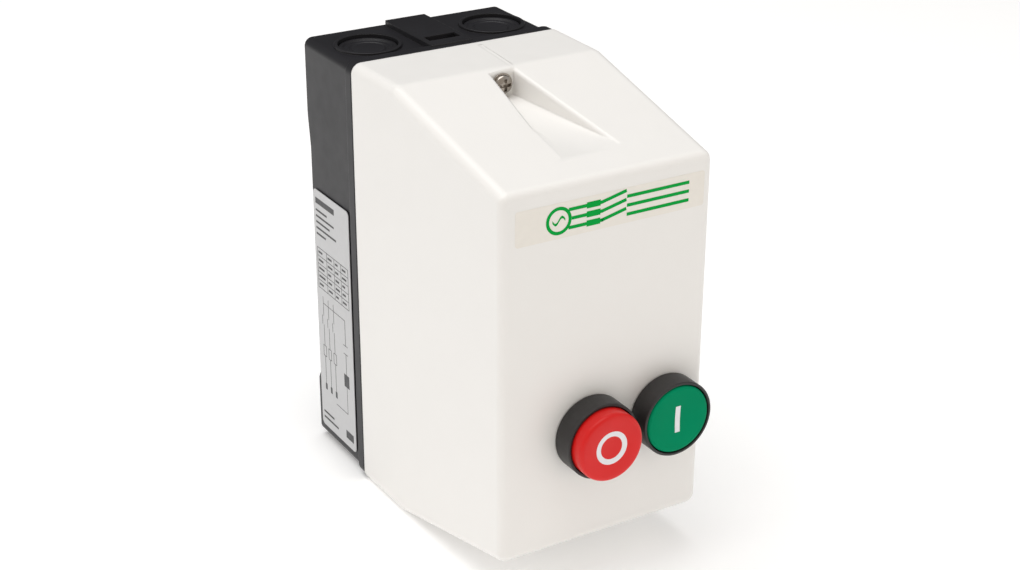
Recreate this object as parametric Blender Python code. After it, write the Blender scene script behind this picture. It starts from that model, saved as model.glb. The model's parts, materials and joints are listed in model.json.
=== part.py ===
"""Enclosed motor protection breaker: a contactor with an overload relay in a two-part plastic case.

The case stands on its lower edge. X runs across the front, -Y points out of the front, +Z is up.
Places are written as (x, depth, z): depth is measured forwards from the wall that the case hangs on.
"""

import math

import bmesh
import bpy
from mathutils import Matrix, Vector

MM = 0.001

# Case: driving sizes
COVER_WIDTH = 82.0 * MM
COVER_HEIGHT = 158.8 * MM
COVER_FRONT_WIDTH = 78.2 * MM
BODY_DEPTH = 133.5 * MM
BASE_DEPTH = 39.2 * MM
BASE_INSET_SIDE = 1.3 * MM
BASE_INSET_END = 1.5 * MM
FLANGE_THICK = 4.7 * MM
FLANGE_RADIUS = 4.5 * MM
WALL = 2.2 * MM
REAR_WALL = 2.8 * MM
GAP = 0.35 * MM
SLOPE_START = 67.0 * MM
TOP_DROP = 15.4 * MM
BOTTOM_RISE = 15.0 * MM
LEDGE = 2.8 * MM
LONG_EDGE_RADIUS = 3.6 * MM
FRONT_EDGE_RADIUS = 2.4 * MM
LEAST_RADIUS = 0.8 * MM
BASE_EDGE_RADIUS = 3.0 * MM

# Earth terminal
EARTH_PLACE = (27.0 * MM, 17.0 * MM)
EARTH_DEPTH = 10.0 * MM

# Rear face: pads that stand on the wall, above and below a shallow recess
PAD_RECESS = 2.2 * MM
LOWER_PAD_HEIGHT = 21.9 * MM
LOWER_PAD_RAMP = 4.0 * MM
UPPER_PAD_HEIGHT = 22.8 * MM
UPPER_PAD_RAMP = 17.0 * MM

# Raised bridge with a slot, above and below
BRIDGE_X = -0.8 * MM
BRIDGE_WIDTH = 16.0 * MM
BRIDGE_RISE_TOP = 2.1 * MM
BRIDGE_RISE_BOTTOM = 1.3 * MM
BRIDGE_START = 2.0 * MM
SLOT_WIDTH = 12.2 * MM
SLOT_DEPTH = 27.0 * MM
SLOT_LENGTH = 4.8 * MM

# Cable entries
ENTRY_X = 24.6 * MM
ENTRY_DEPTH = 19.8 * MM
ENTRY_RADIUS = 10.5 * MM
COLLAR_RADIUS = 11.8 * MM
COLLAR_RISE = 0.9 * MM
KNOCKOUT_THICK = 1.6 * MM

# Cover screw, its nut and its recess
SCREW_BELOW_TOP = 4.8 * MM
SCREW_SEAT = 69.4 * MM
SCREW_RADIUS = 2.0 * MM
SCREW_TIP = 27.2 * MM
HEAD_RADIUS = 3.7 * MM
HEAD_THICK = 2.7 * MM
CROSS_REACH = 1.9 * MM
CROSS_HALF = 0.45 * MM
CROSS_DEPTH = 1.3 * MM
SCREW_CLEARANCE = 0.35 * MM
POST_CLEARANCE = 0.6 * MM
BOSS_WALL = 1.4 * MM
NUT_SIDE = 7.0 * MM
NUT_THICK = 3.2 * MM
RECESS_BACK_HALF = 4.6 * MM
RECESS_FLOOR_DROP = 9.4 * MM
RECESS_LEDGE_DROP = 12.7 * MM
RECESS_FRONT = 130.0 * MM
RECESS_FRONT_LEFT = -12.9 * MM
RECESS_FRONT_RIGHT = 13.7 * MM
RECESS_FOLD_X = -3.4 * MM
RECESS_FOLD_DEPTH = 104.4 * MM
RECESS_SKIN = 2.0 * MM

# Buttons
BUTTON_Z = 55.3 * MM
STOP_X = -5.5 * MM
BEZEL_SPACE = 2.6 * MM
BEZEL_HEIGHT = 8.5 * MM
BEZEL_WALL = 0.95 * MM
CAP_RADIUS = 12.0 * MM
STOP_FACE = 13.5 * MM
START_FACE = 8.7 * MM
BUTTON_NECK_RADIUS = 10.7 * MM
NECK_LENGTH = 14.5 * MM
NECK_FLOOR = 2.5 * MM
CHAMBER_STEP = 0.7 * MM
SPRING_BORE = 7.6 * MM
SPRING_RADIUS = 5.6 * MM
SPRING_WIRE = 0.45 * MM
STEM_RADIUS = 3.0 * MM
LOCKNUT_WIDTH = 1.8 * MM
LOCKNUT_HEIGHT = 3.0 * MM
STEM_DISC = 1.0 * MM
SOCKET_DEPTH = 2.2 * MM
CAP_CROWN = 1.0 * MM
BUTTON_TRAVEL = 4.0 * MM
START_TRAVEL = 3.5 * MM

# Rating plate on the left side, and clear film on the front
PLATE_DEPTH = (3.6 * MM, 31.8 * MM)
PLATE_Z = (6.6 * MM, 102.6 * MM)
PLATE_THICK = 0.3 * MM
PLATE_RADIUS = 2.0 * MM
FILM_X = (-34.0 * MM, 36.0 * MM)
FILM_Z = (125.8 * MM, 137.6 * MM)
FILM_THICK = 0.25 * MM
FILM_RADIUS = 1.0 * MM

# Rail and apparatus
RAIL_WIDTH = 70.0 * MM
RAIL_HEIGHT = 35.0 * MM
RAIL_DEPTH = 7.5 * MM
RAIL_SHEET = 1.2 * MM
RAIL_SCREW_INSET = 5.0 * MM
RAIL_HOLE_DEPTH = 1.7 * MM
RAIL_Z = 110.0 * MM
APPARATUS_X = -10.0 * MM
APPARATUS_WIDTH = 45.0 * MM
CONTACTOR_HEIGHT = 56.0 * MM
CONTACTOR_DEPTH = 57.0 * MM
SHELL = 2.0 * MM
RELAY_BOTTOM = 22.0 * MM
RELAY_DEPTH = 61.0 * MM
POLE_PITCH = 12.5 * MM
ARMATURE_STROKE = 2.6 * MM
CORE_THICK = 6.0 * MM
CORE_LEG = 9.6 * MM
CORE_HALF_WIDTH = 6.0 * MM
CORE_END = 20.0 * MM
CORE_SLOT_END = 15.0 * MM
CORE_SLOT = 5.0 * MM
BOBBIN_WALL = 1.0 * MM
BOBBIN_HALF_WIDTH = 14.0 * MM
ARMATURE_LEG = 4.0 * MM
BRIDGE_FORWARD = 11.0 * MM
CONTACT_TIP = 0.6 * MM
BLOCK_WIDTH = 18.0 * MM
BLOCK_SPACE = 2.0 * MM
BLOCK_HEIGHT = 36.0 * MM
BLOCK_DEPTH = 59.0 * MM
PLUNGER_RADIUS = 3.5 * MM
PLUNGER_OUT = 3.0 * MM
DIAL_RADIUS = 6.0 * MM
DIAL_X = -22.0 * MM
DIAL_Z = 66.0 * MM

NOTCHES = 6
COARSE_ROUND = 20
MIDDLE_ROUND = 24
ROUND = 32
FINE_ROUND = 48
EDGE_STEPS = 4

# Worked out from the driving sizes
TOTAL_DEPTH = BODY_DEPTH + STOP_FACE
BACK = TOTAL_DEPTH / 2
COVER_BACK = BASE_DEPTH + GAP
BASE_HALF = COVER_WIDTH / 2 - BASE_INSET_SIDE
BASE_LOW = BASE_INSET_END
BASE_HIGH = COVER_HEIGHT - BASE_INSET_END
SLOPE = TOP_DROP / (BODY_DEPTH - SLOPE_START)
SCREW_Z = COVER_HEIGHT - SCREW_BELOW_TOP
INNER_LOW = BASE_LOW + WALL
INNER_HIGH = BASE_HIGH - WALL
HINGE_DEPTH = BASE_DEPTH + GAP / 2
RAIL_BACK = PAD_RECESS + REAR_WALL + GAP
RAIL_FRONT = RAIL_BACK + RAIL_DEPTH
DEVICE_BACK = RAIL_FRONT + GAP
CONTACTOR_FRONT = DEVICE_BACK + CONTACTOR_DEPTH
CONTACTOR_SPLIT = DEVICE_BACK + 0.43 * CONTACTOR_DEPTH
CONTACTOR_LOW = RAIL_Z - CONTACTOR_HEIGHT / 2
CONTACTOR_HIGH = RAIL_Z + CONTACTOR_HEIGHT / 2
RELAY_HIGH = CONTACTOR_LOW - 2.5 * MM
RELAY_FRONT = DEVICE_BACK + RELAY_DEPTH
BLOCK_FRONT = DEVICE_BACK + BLOCK_DEPTH
BEZEL_FRONT = BODY_DEPTH + BEZEL_HEIGHT
BEZEL_BACK = BODY_DEPTH + GAP
CHAMBER_FLOOR = BEZEL_BACK + CHAMBER_STEP
BEZEL_RADIUS = CAP_RADIUS + GAP + BEZEL_WALL
# The start button stands clear of the stop bezel, and its contact block clear of the relay.
START_X = max(
    STOP_X + 2 * BEZEL_RADIUS + BEZEL_SPACE,
    APPARATUS_X + APPARATUS_WIDTH / 2 + BLOCK_SPACE + BLOCK_WIDTH / 2,
)
NECK_BACK = BODY_DEPTH - NECK_LENGTH
CORE_TIP = DEVICE_BACK + SHELL + GAP + CORE_THICK + CORE_LEG
ARMATURE_FRONT = CORE_TIP + GAP + ARMATURE_STROKE + ARMATURE_LEG + CORE_THICK
BRIDGE_BACK = ARMATURE_FRONT + GAP + BRIDGE_FORWARD
CONTACT_FACE = BRIDGE_BACK - CONTACT_TIP - ARMATURE_STROKE - GAP
POLE_X = [APPARATUS_X + step * POLE_PITCH for step in (-1, 0, 1)]

COLOURS = {
    "black_plastic": ((0.030, 0.029, 0.032), 0.45, 0.0),
    "white_plastic": ((0.86, 0.85, 0.82), 0.32, 0.0),
    "red_plastic": ((0.70, 0.025, 0.025), 0.35, 0.0),
    "green_plastic": ((0.0, 0.26, 0.115), 0.35, 0.0),
    "bezel_plastic": ((0.045, 0.043, 0.042), 0.5, 0.0),
    "grey_plastic": ((0.42, 0.43, 0.43), 0.5, 0.0),
    "dark_plastic": ((0.07, 0.075, 0.08), 0.5, 0.0),
    "nylon": ((0.75, 0.73, 0.66), 0.5, 0.0),
    "steel": ((0.55, 0.54, 0.52), 0.35, 1.0),
    "core_steel": ((0.30, 0.29, 0.28), 0.45, 1.0),
    "brass": ((0.72, 0.53, 0.22), 0.3, 1.0),
    "copper": ((0.72, 0.33, 0.18), 0.35, 1.0),
    "seal_rubber": ((0.02, 0.02, 0.02), 0.8, 0.0),
    "label_film": ((0.72, 0.73, 0.74), 0.4, 0.0),
    "clear_film": ((0.84, 0.84, 0.79), 0.3, 0.0),
}


def clear_scene():
    """Start from an empty file."""
    for obj in list(bpy.data.objects):
        bpy.data.objects.remove(obj, do_unlink=True)


def make_material(name):
    """A Principled material in one of the breaker's finishes."""
    colour, roughness, metallic = COLOURS[name]
    found = bpy.data.materials.get(name) or bpy.data.materials.new(name)
    found.use_nodes = True
    found.diffuse_color = (*colour, 1.0)
    shader = found.node_tree.nodes["Principled BSDF"]
    shader.inputs["Base Color"].default_value = (*colour, 1.0)
    shader.inputs["Roughness"].default_value = roughness
    shader.inputs["Metallic"].default_value = metallic
    return found


def at(x, depth, z):
    """The world place of a point given by its depth from the wall."""
    return Vector((x, BACK - depth, z))


# ---------------------------------------------------------------- solids


def to_solid(bm):
    """A closed mesh object, facing outwards, from a bmesh."""
    bmesh.ops.recalc_face_normals(bm, faces=bm.faces)
    mesh = bpy.data.meshes.new("solid")
    bm.to_mesh(mesh)
    bm.free()
    obj = bpy.data.objects.new("solid", mesh)
    bpy.context.scene.collection.objects.link(obj)
    return obj


def loft(rings):
    """A solid through rings of equally many points, capped at both ends; single points close a ring."""
    bm = bmesh.new()
    loops = [[bm.verts.new(point) for point in ring] for ring in rings]
    for first, second in zip(loops, loops[1:]):
        count = max(len(first), len(second))
        for k in range(count):
            corners = [
                first[k % len(first)],
                first[(k + 1) % len(first)],
                second[(k + 1) % len(second)],
                second[k % len(second)],
            ]
            bm.faces.new(list(dict.fromkeys(corners)))
    for end in (loops[0], loops[-1]):
        if len(end) > 2:
            bm.faces.new(end)
    return to_solid(bm)


def block(x, depth, z):
    """A box between two x, two depths and two heights."""
    rings = []
    for d in depth:
        rings.append([at(x[0], d, z[0]), at(x[1], d, z[0]), at(x[1], d, z[1]), at(x[0], d, z[1])])
    return loft(rings)


def rounded_outline(x, z, radius, steps=EDGE_STEPS):
    """Points of a rectangle in X and Z with round corners."""
    centres = (
        (x[1] - radius, z[1] - radius, 0.0),
        (x[0] + radius, z[1] - radius, 90.0),
        (x[0] + radius, z[0] + radius, 180.0),
        (x[1] - radius, z[0] + radius, 270.0),
    )
    points = []
    for cx, cz, start in centres:
        for k in range(steps + 1):
            turn = math.radians(start + 90.0 * k / steps)
            points.append((cx + radius * math.cos(turn), cz + radius * math.sin(turn)))
    return points


def rounded_block(x, depth, z, radius, steps=EDGE_STEPS):
    """A box whose four edges along the depth are round."""
    outline = rounded_outline(x, z, radius, steps)
    return loft([[at(px, d, pz) for px, pz in outline] for d in depth])


def prism_across(outline, x):
    """An outline in depth and height, extruded between two x."""
    return loft([[at(px, d, z) for d, z in outline] for px in x])


def prism_up(outline, z):
    """An outline in x and depth, extruded between two heights."""
    return loft([[at(x, d, pz) for x, d in outline] for pz in z])


def turned(profile, place, steps=ROUND):
    """A solid turned about an axis. A profile that starts off the axis is a ring."""
    rings = []
    for radius, along in profile:
        if radius == 0:
            rings.append([place(0.0, 0.0, along)])
            continue
        ring = []
        for k in range(steps):
            turn = 2 * math.pi * k / steps
            ring.append(place(radius * math.cos(turn), radius * math.sin(turn), along))
        rings.append(ring)
    if profile[0][0] == 0:
        return loft(rings)
    bm = bmesh.new()
    loops = [[bm.verts.new(point) for point in ring] for ring in rings]
    for first, second in zip(loops, loops[1:] + loops[:1]):
        for k in range(steps):
            following = (k + 1) % steps
            bm.faces.new([first[k], first[following], second[following], second[k]])
    return to_solid(bm)


def turned_forward(x, z, profile, steps=ROUND):
    """Turned about a line along the depth; the profile is (radius, depth)."""
    return turned(profile, lambda across, up, along: at(x + across, along, z + up), steps)


def turned_up(x, depth, profile, steps=ROUND):
    """Turned about an upright line; the profile is (radius, height)."""
    return turned(profile, lambda across, deep, along: at(x + across, depth + deep, along), steps)


def rod(x, z, radius, depth, steps=ROUND):
    """A cylinder along the depth."""
    profile = [(0, depth[0]), (radius, depth[0]), (radius, depth[1]), (0, depth[1])]
    return turned_forward(x, z, profile, steps)


def upright_rod(x, depth, radius, z, steps=ROUND):
    """A cylinder along the height."""
    profile = [(0, z[0]), (radius, z[0]), (radius, z[1]), (0, z[1])]
    return turned_up(x, depth, profile, steps)


def bake(obj):
    """Replace an object's mesh by what its modifiers make of it."""
    bpy.context.view_layer.update()
    graph = bpy.context.evaluated_depsgraph_get()
    baked = bpy.data.meshes.new_from_object(obj.evaluated_get(graph))
    obj.modifiers.clear()
    obj.data = baked
    return obj


def combine(target, tool, operation):
    """Bake one Boolean into the target and take the tool away."""
    modifier = target.modifiers.new("shape", "BOOLEAN")
    modifier.object = tool
    modifier.operation = operation
    bake(target)
    bpy.data.objects.remove(tool, do_unlink=True)
    return target


def join(target, *tools):
    """Add solids to the target."""
    for tool in tools:
        combine(target, tool, "UNION")
    return target


def cut(target, *tools):
    """Take solids away from the target."""
    for tool in tools:
        combine(target, tool, "DIFFERENCE")
    return target


def node(name, solid, finish):
    """Turn a solid into a named sub-part with its material."""
    solid.name = name
    solid.data.name = name
    solid.data.materials.clear()
    solid.data.materials.append(make_material(finish))
    solid.data.shade_smooth()
    solid.data.set_sharp_from_angle(angle=math.radians(32))
    return solid


def spring(name, x, z, depth, radius, turns):
    """A helical compression spring along the depth."""
    steps_per_turn = 10
    count = turns * steps_per_turn
    curve = bpy.data.curves.new(name, "CURVE")
    curve.dimensions = "3D"
    curve.bevel_depth = SPRING_WIRE
    curve.bevel_resolution = 1
    curve.use_fill_caps = True
    line = curve.splines.new("POLY")
    line.points.add(count)
    for k in range(count + 1):
        turn = 2 * math.pi * k / steps_per_turn
        along = depth[0] + (depth[1] - depth[0]) * k / count
        point = at(x + radius * math.cos(turn), along, z + radius * math.sin(turn))
        line.points[k].co = (*point, 1.0)
    curve.materials.append(make_material("steel"))
    obj = bpy.data.objects.new(name, curve)
    bpy.context.scene.collection.objects.link(obj)
    return obj


def hang_on(name, place, pieces):
    """Parent a moving body's pieces to an empty on its joint's axis."""
    holder = bpy.data.objects.new(name, None)
    holder.location = place
    holder.empty_display_size = 10 * MM
    bpy.context.scene.collection.objects.link(holder)
    for piece in pieces:
        piece.parent = holder
        piece.matrix_parent_inverse = Matrix.Translation(-Vector(place))
    return holder


# ---------------------------------------------------------------- rear box


def make_rear_box():
    """The black moulding that hangs on the wall."""
    x = (-BASE_HALF, BASE_HALF)
    half = COVER_WIDTH / 2
    outside = rounded_block(x, (0, BASE_DEPTH - FLANGE_THICK / 2), (BASE_LOW, BASE_HIGH), BASE_EDGE_RADIUS)
    flange_depth = (BASE_DEPTH - FLANGE_THICK, BASE_DEPTH)
    flange = rounded_block((-half, half), flange_depth, (0, COVER_HEIGHT), FLANGE_RADIUS)
    bridge_x = (BRIDGE_X - BRIDGE_WIDTH / 2, BRIDGE_X + BRIDGE_WIDTH / 2)
    bridge_depth = (BRIDGE_START, BASE_DEPTH - FLANGE_THICK / 2)
    upper = block(bridge_x, bridge_depth, (BASE_HIGH - WALL / 2, BASE_HIGH + BRIDGE_RISE_TOP))
    lower = block(bridge_x, bridge_depth, (BASE_LOW - BRIDGE_RISE_BOTTOM, BASE_LOW + WALL / 2))
    box = join(outside, flange, upper, lower)
    for side in (-1, 1):
        top_ring = (BASE_HIGH - WALL / 2, BASE_HIGH + COLLAR_RISE)
        bottom_ring = (BASE_LOW - COLLAR_RISE, BASE_LOW + WALL / 2)
        join(box, upright_rod(side * ENTRY_X, ENTRY_DEPTH, COLLAR_RADIUS, top_ring))
        join(box, upright_rod(side * ENTRY_X, ENTRY_DEPTH, COLLAR_RADIUS, bottom_ring))
    inside_x = (-BASE_HALF + WALL, BASE_HALF - WALL)
    inside_depth = (PAD_RECESS + REAR_WALL, BASE_DEPTH + WALL)
    cut(box, rounded_block(inside_x, inside_depth, (INNER_LOW, INNER_HIGH), 1.5 * MM))
    lower_edge = BASE_LOW + LOWER_PAD_HEIGHT
    upper_edge = BASE_HIGH - UPPER_PAD_HEIGHT
    recess = [
        (-WALL, lower_edge),
        (0, lower_edge),
        (PAD_RECESS, lower_edge + LOWER_PAD_RAMP),
        (PAD_RECESS, upper_edge - UPPER_PAD_RAMP),
        (0, upper_edge),
        (-WALL, upper_edge),
    ]
    cut(box, prism_across(recess, (-COVER_WIDTH, COVER_WIDTH)))
    add_screw_post(box)
    add_rail_holes(box)
    slot_x = (BRIDGE_X - SLOT_WIDTH / 2, BRIDGE_X + SLOT_WIDTH / 2)
    slot_depth = (SLOT_DEPTH, SLOT_DEPTH + SLOT_LENGTH)
    cut(box, block(slot_x, slot_depth, (SCREW_Z - NUT_SIDE / 2 - GAP, COVER_HEIGHT + 5 * MM)))
    cut(box, block(slot_x, slot_depth, (-5 * MM, INNER_LOW + 1 * MM)))
    for side in (-1, 1):
        cut(box, upright_rod(side * ENTRY_X, ENTRY_DEPTH, ENTRY_RADIUS, (-WALL, COVER_HEIGHT + WALL)))
    return node("rear_box", box, "black_plastic")


def add_screw_post(box):
    """The block under the top wall that holds the nut of the cover screw."""
    half = SLOT_WIDTH / 2 + 1.8 * MM
    post_x = (BRIDGE_X - half, BRIDGE_X + half)
    post_depth = (SLOT_DEPTH - 2.5 * MM, BASE_DEPTH - 2.6 * MM)
    post_z = (SCREW_Z - NUT_SIDE / 2 - 2.4 * MM, INNER_HIGH + WALL / 2)
    join(box, block(post_x, post_depth, post_z))
    hole = (PAD_RECESS + REAR_WALL + 1 * MM, BASE_DEPTH + 1 * MM)
    cut(box, rod(BRIDGE_X, SCREW_Z, SCREW_RADIUS + POST_CLEARANCE, hole))


def add_rail_holes(box):
    """Two blind holes in the rear wall for the rail's screws."""
    for side in (-1, 1):
        x = side * (RAIL_WIDTH / 2 - RAIL_SCREW_INSET)
        depth = (PAD_RECESS + REAR_WALL - RAIL_HOLE_DEPTH, RAIL_BACK + 1 * MM)
        cut(box, rod(x, RAIL_Z, SCREW_RADIUS + GAP, depth, COARSE_ROUND))


def make_knockouts():
    """Four thin discs that close the cable entries until they are pushed out."""
    places = []
    top = BASE_HIGH - WALL + GAP
    bottom = BASE_LOW + WALL - GAP - KNOCKOUT_THICK
    for level, low in (("top", top), ("bottom", bottom)):
        for side, name in ((-1, "left"), (1, "right")):
            radius = ENTRY_RADIUS - GAP
            face = low + KNOCKOUT_THICK
            rim = radius - 1.4 * MM
            if level == "top":
                profile = [
                    (0, low),
                    (radius, low),
                    (radius, face),
                    (rim, face),
                    (rim, face - 0.5 * MM),
                    (0, face - 0.5 * MM),
                ]
            else:
                profile = [
                    (0, low + 0.5 * MM),
                    (rim, low + 0.5 * MM),
                    (rim, low),
                    (radius, low),
                    (radius, face),
                    (0, face),
                ]
            disc = turned_up(side * ENTRY_X, ENTRY_DEPTH, profile)
            places.append(node(f"knockout_{level}_{name}", disc, "black_plastic"))
    return places


def make_cover_nut():
    """A square nut, dropped into the slot of the upper bridge."""
    middle = SLOT_DEPTH + SLOT_LENGTH / 2
    depth = (middle - NUT_THICK / 2, middle + NUT_THICK / 2)
    half = NUT_SIDE / 2
    nut = block((BRIDGE_X - half, BRIDGE_X + half), depth, (SCREW_Z - half, SCREW_Z + half))
    bore = (depth[0] - 1 * MM, depth[1] + 1 * MM)
    cut(nut, rod(BRIDGE_X, SCREW_Z, SCREW_RADIUS + SCREW_CLEARANCE, bore, MIDDLE_ROUND))
    return node("cover_nut", nut, "steel")


def make_seal():
    """A flat rubber frame on the ledge inside the cover, notched for the cover screw."""
    outer_x = COVER_WIDTH / 2 - WALL - 0.5 * MM
    outer_z = (WALL + 0.5 * MM, COVER_HEIGHT - WALL - 0.5 * MM)
    back = COVER_BACK + LEDGE + GAP
    depth = (back, back + 1.0 * MM)
    through = (back - 1 * MM, back + 2 * MM)
    seal = rounded_block((-outer_x, outer_x), depth, outer_z, 2 * MM)
    width = 4.2 * MM
    inner_x = outer_x - width
    inner_z = (outer_z[0] + width, SCREW_Z - SCREW_RADIUS - 1.8 * MM)
    cut(seal, rounded_block((-inner_x, inner_x), through, inner_z, 1.2 * MM))
    cut(seal, rod(BRIDGE_X, SCREW_Z, SCREW_RADIUS + SCREW_CLEARANCE, through, MIDDLE_ROUND))
    half = SCREW_RADIUS + SCREW_CLEARANCE
    cut(seal, block((BRIDGE_X - half, BRIDGE_X + half), through, (SCREW_Z, COVER_HEIGHT)))
    return node("cover_seal", seal, "seal_rubber")


def make_rail():
    """A top-hat rail across the box, with a screw at each end."""
    half = RAIL_WIDTH / 2
    high = RAIL_HEIGHT / 2
    channel = high - 4 * MM
    sheet = RAIL_SHEET
    outline = [
        (RAIL_FRONT, RAIL_Z - high),
        (RAIL_FRONT, RAIL_Z - channel),
        (RAIL_BACK + sheet, RAIL_Z - channel),
        (RAIL_BACK + sheet, RAIL_Z + channel),
        (RAIL_FRONT, RAIL_Z + channel),
        (RAIL_FRONT, RAIL_Z + high),
        (RAIL_FRONT - sheet, RAIL_Z + high),
        (RAIL_FRONT - sheet, RAIL_Z + channel + sheet),
        (RAIL_BACK, RAIL_Z + channel + sheet),
        (RAIL_BACK, RAIL_Z - channel - sheet),
        (RAIL_FRONT - sheet, RAIL_Z - channel - sheet),
        (RAIL_FRONT - sheet, RAIL_Z - high),
    ]
    rail = prism_across(outline, (-half, half))
    pieces = []
    for side, name in ((-1, "left"), (1, "right")):
        x = side * (half - RAIL_SCREW_INSET)
        hole = (RAIL_BACK - 1 * MM, RAIL_BACK + sheet + 1 * MM)
        cut(rail, rod(x, RAIL_Z, SCREW_RADIUS + GAP, hole, COARSE_ROUND))
        base = RAIL_BACK + sheet + GAP
        tip = PAD_RECESS + REAR_WALL - RAIL_HOLE_DEPTH + GAP
        profile = [
            (0, tip),
            (SCREW_RADIUS, tip),
            (SCREW_RADIUS, base),
            (HEAD_RADIUS, base),
            (HEAD_RADIUS, base + 1.6 * MM),
            (HEAD_RADIUS - 1.2 * MM, base + HEAD_THICK),
            (0, base + HEAD_THICK),
        ]
        screw = turned_forward(x, RAIL_Z, profile, COARSE_ROUND)
        pieces.append(node(f"rail_screw_{name}", cut_cross(screw, x, RAIL_Z, base + HEAD_THICK), "steel"))
    return [node("mounting_rail", rail, "steel"), *pieces]


def cut_cross(screw, x, z, face):
    """A cross recess in a screw's head."""
    for wide, tall in ((CROSS_REACH, CROSS_HALF), (CROSS_HALF, CROSS_REACH)):
        arm = block((x - wide, x + wide), (face - CROSS_DEPTH, face + 1 * MM), (z - tall, z + tall))
        cut(screw, arm)
    return screw


def make_earth_terminal():
    """A brass block with a clamp screw, low on the right."""
    x, z = EARTH_PLACE
    back = PAD_RECESS + REAR_WALL + GAP
    front = back + EARTH_DEPTH
    half = HEAD_RADIUS + 1.3 * MM
    body = block((x - half, x + half), (back, front), (z - 4 * MM, z + 4 * MM))
    cut(body, rod(x, z, SCREW_RADIUS + GAP, (back + 2 * MM, front + 1 * MM), COARSE_ROUND))
    face = front + HEAD_THICK - 0.3 * MM
    profile = [
        (0, front - 5 * MM),
        (SCREW_RADIUS, front - 5 * MM),
        (SCREW_RADIUS, front + GAP),
        (HEAD_RADIUS, front + GAP),
        (HEAD_RADIUS, face),
        (0, face),
    ]
    screw = cut_cross(turned_forward(x, z, profile, COARSE_ROUND), x, z, face)
    return [node("earth_terminal", body, "brass"), node("earth_screw", screw, "steel")]


def make_rating_label():
    """A rounded plate on the box's left side."""
    x = -BASE_HALF - GAP
    outline = rounded_outline(PLATE_DEPTH, PLATE_Z, PLATE_RADIUS)
    label = prism_across(outline, (x - PLATE_THICK, x))
    return node("rating_label", label, "label_film")


# ---------------------------------------------------------------- cover


def cover_shape(inset, back, steps):
    """The cover's closed outline, drawn in by a wall thickness, with rounded edges."""
    front = BODY_DEPTH - inset
    slant = inset / math.cos(math.atan(SLOPE))
    bend = SLOPE_START - inset * math.tan(math.atan(SLOPE) / 2)
    low_slope = BOTTOM_RISE / (BODY_DEPTH - SLOPE_START)
    bm = bmesh.new()
    weight = bm.edges.layers.float.new("bevel_weight_edge")
    loops = []
    for depth in (back, bend, front):
        taper = (depth - COVER_BACK) / (BODY_DEPTH - COVER_BACK)
        half = (COVER_WIDTH + (COVER_FRONT_WIDTH - COVER_WIDTH) * taper) / 2 - inset
        forward = max(0.0, depth - SLOPE_START)
        high = COVER_HEIGHT - (inset if depth < front else slant + forward * SLOPE)
        low = inset if depth < front else slant + forward * low_slope
        corners = ((-half, low), (half, low), (half, high), (-half, high))
        loops.append([bm.verts.new(at(x, depth, z)) for x, z in corners])
    for first, second in zip(loops, loops[1:]):
        for k in range(4):
            following = (k + 1) % 4
            bm.faces.new([first[k], first[following], second[following], second[k]])
            bm.edges.get((first[k], second[k]))[weight] = 1.0
    bm.faces.new(loops[0])
    bm.faces.new(loops[-1])
    for k in range(4):
        edge = bm.edges.get((loops[-1][k], loops[-1][(k + 1) % 4]))
        edge[weight] = FRONT_EDGE_RADIUS / LONG_EDGE_RADIUS
    shell = to_solid(bm)
    bevel = shell.modifiers.new("round", "BEVEL")
    bevel.width = max(LONG_EDGE_RADIUS - inset, LEAST_RADIUS)
    bevel.segments = steps
    bevel.limit_method = "WEIGHT"
    return bake(shell)


def recess_tool(skin):
    """The wedge over the cover screw; a skin makes it larger for the wall beneath."""
    back = SCREW_SEAT - skin
    half = RECESS_BACK_HALF + skin
    floor = COVER_HEIGHT - RECESS_FLOOR_DROP - skin
    ledge = COVER_HEIGHT - RECESS_LEDGE_DROP - skin
    lift = COVER_HEIGHT + 10 * MM
    left = RECESS_FRONT_LEFT - skin
    right = RECESS_FRONT_RIGHT + skin
    front = RECESS_FRONT + skin
    bm = bmesh.new()

    def corner(x, depth, z):
        return bm.verts.new(at(x, depth, z))

    back_left = corner(BRIDGE_X - half, back, floor)
    back_right = corner(BRIDGE_X + half, back, floor)
    front_left = corner(left, front, ledge)
    front_right = corner(right, front, ledge)
    fold = corner(RECESS_FOLD_X - skin, RECESS_FOLD_DEPTH, ledge)
    high_back_left = corner(BRIDGE_X - half - 0.4 * MM, back, lift)
    high_back_right = corner(BRIDGE_X + half + 0.4 * MM, back, lift)
    high_front_left = corner(left, front, lift)
    high_front_right = corner(right, front, lift)
    side_x = BRIDGE_X - half + (left - BRIDGE_X + half) * (RECESS_FOLD_DEPTH - back) / (front - back)
    high_fold = corner(side_x, RECESS_FOLD_DEPTH, lift)
    middle_fold = corner(side_x, RECESS_FOLD_DEPTH, COVER_HEIGHT - RECESS_LEDGE_DROP + 4 * MM)
    faces = (
        (back_left, back_right, fold),
        (back_right, front_right, fold),
        (fold, front_right, front_left),
        (back_right, high_back_right, high_front_right, front_right),
        (front_left, front_right, high_front_right, high_front_left),
        (back_left, high_back_left, high_back_right, back_right),
        (back_left, fold, middle_fold),
        (back_left, middle_fold, high_fold, high_back_left),
        (fold, front_left, middle_fold),
        (front_left, high_front_left, high_fold, middle_fold),
        (high_back_left, high_fold, high_front_left, high_front_right, high_back_right),
    )
    for face in faces:
        bm.faces.new(face)
    bmesh.ops.triangulate(bm, faces=bm.faces)
    return to_solid(bm)


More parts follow.
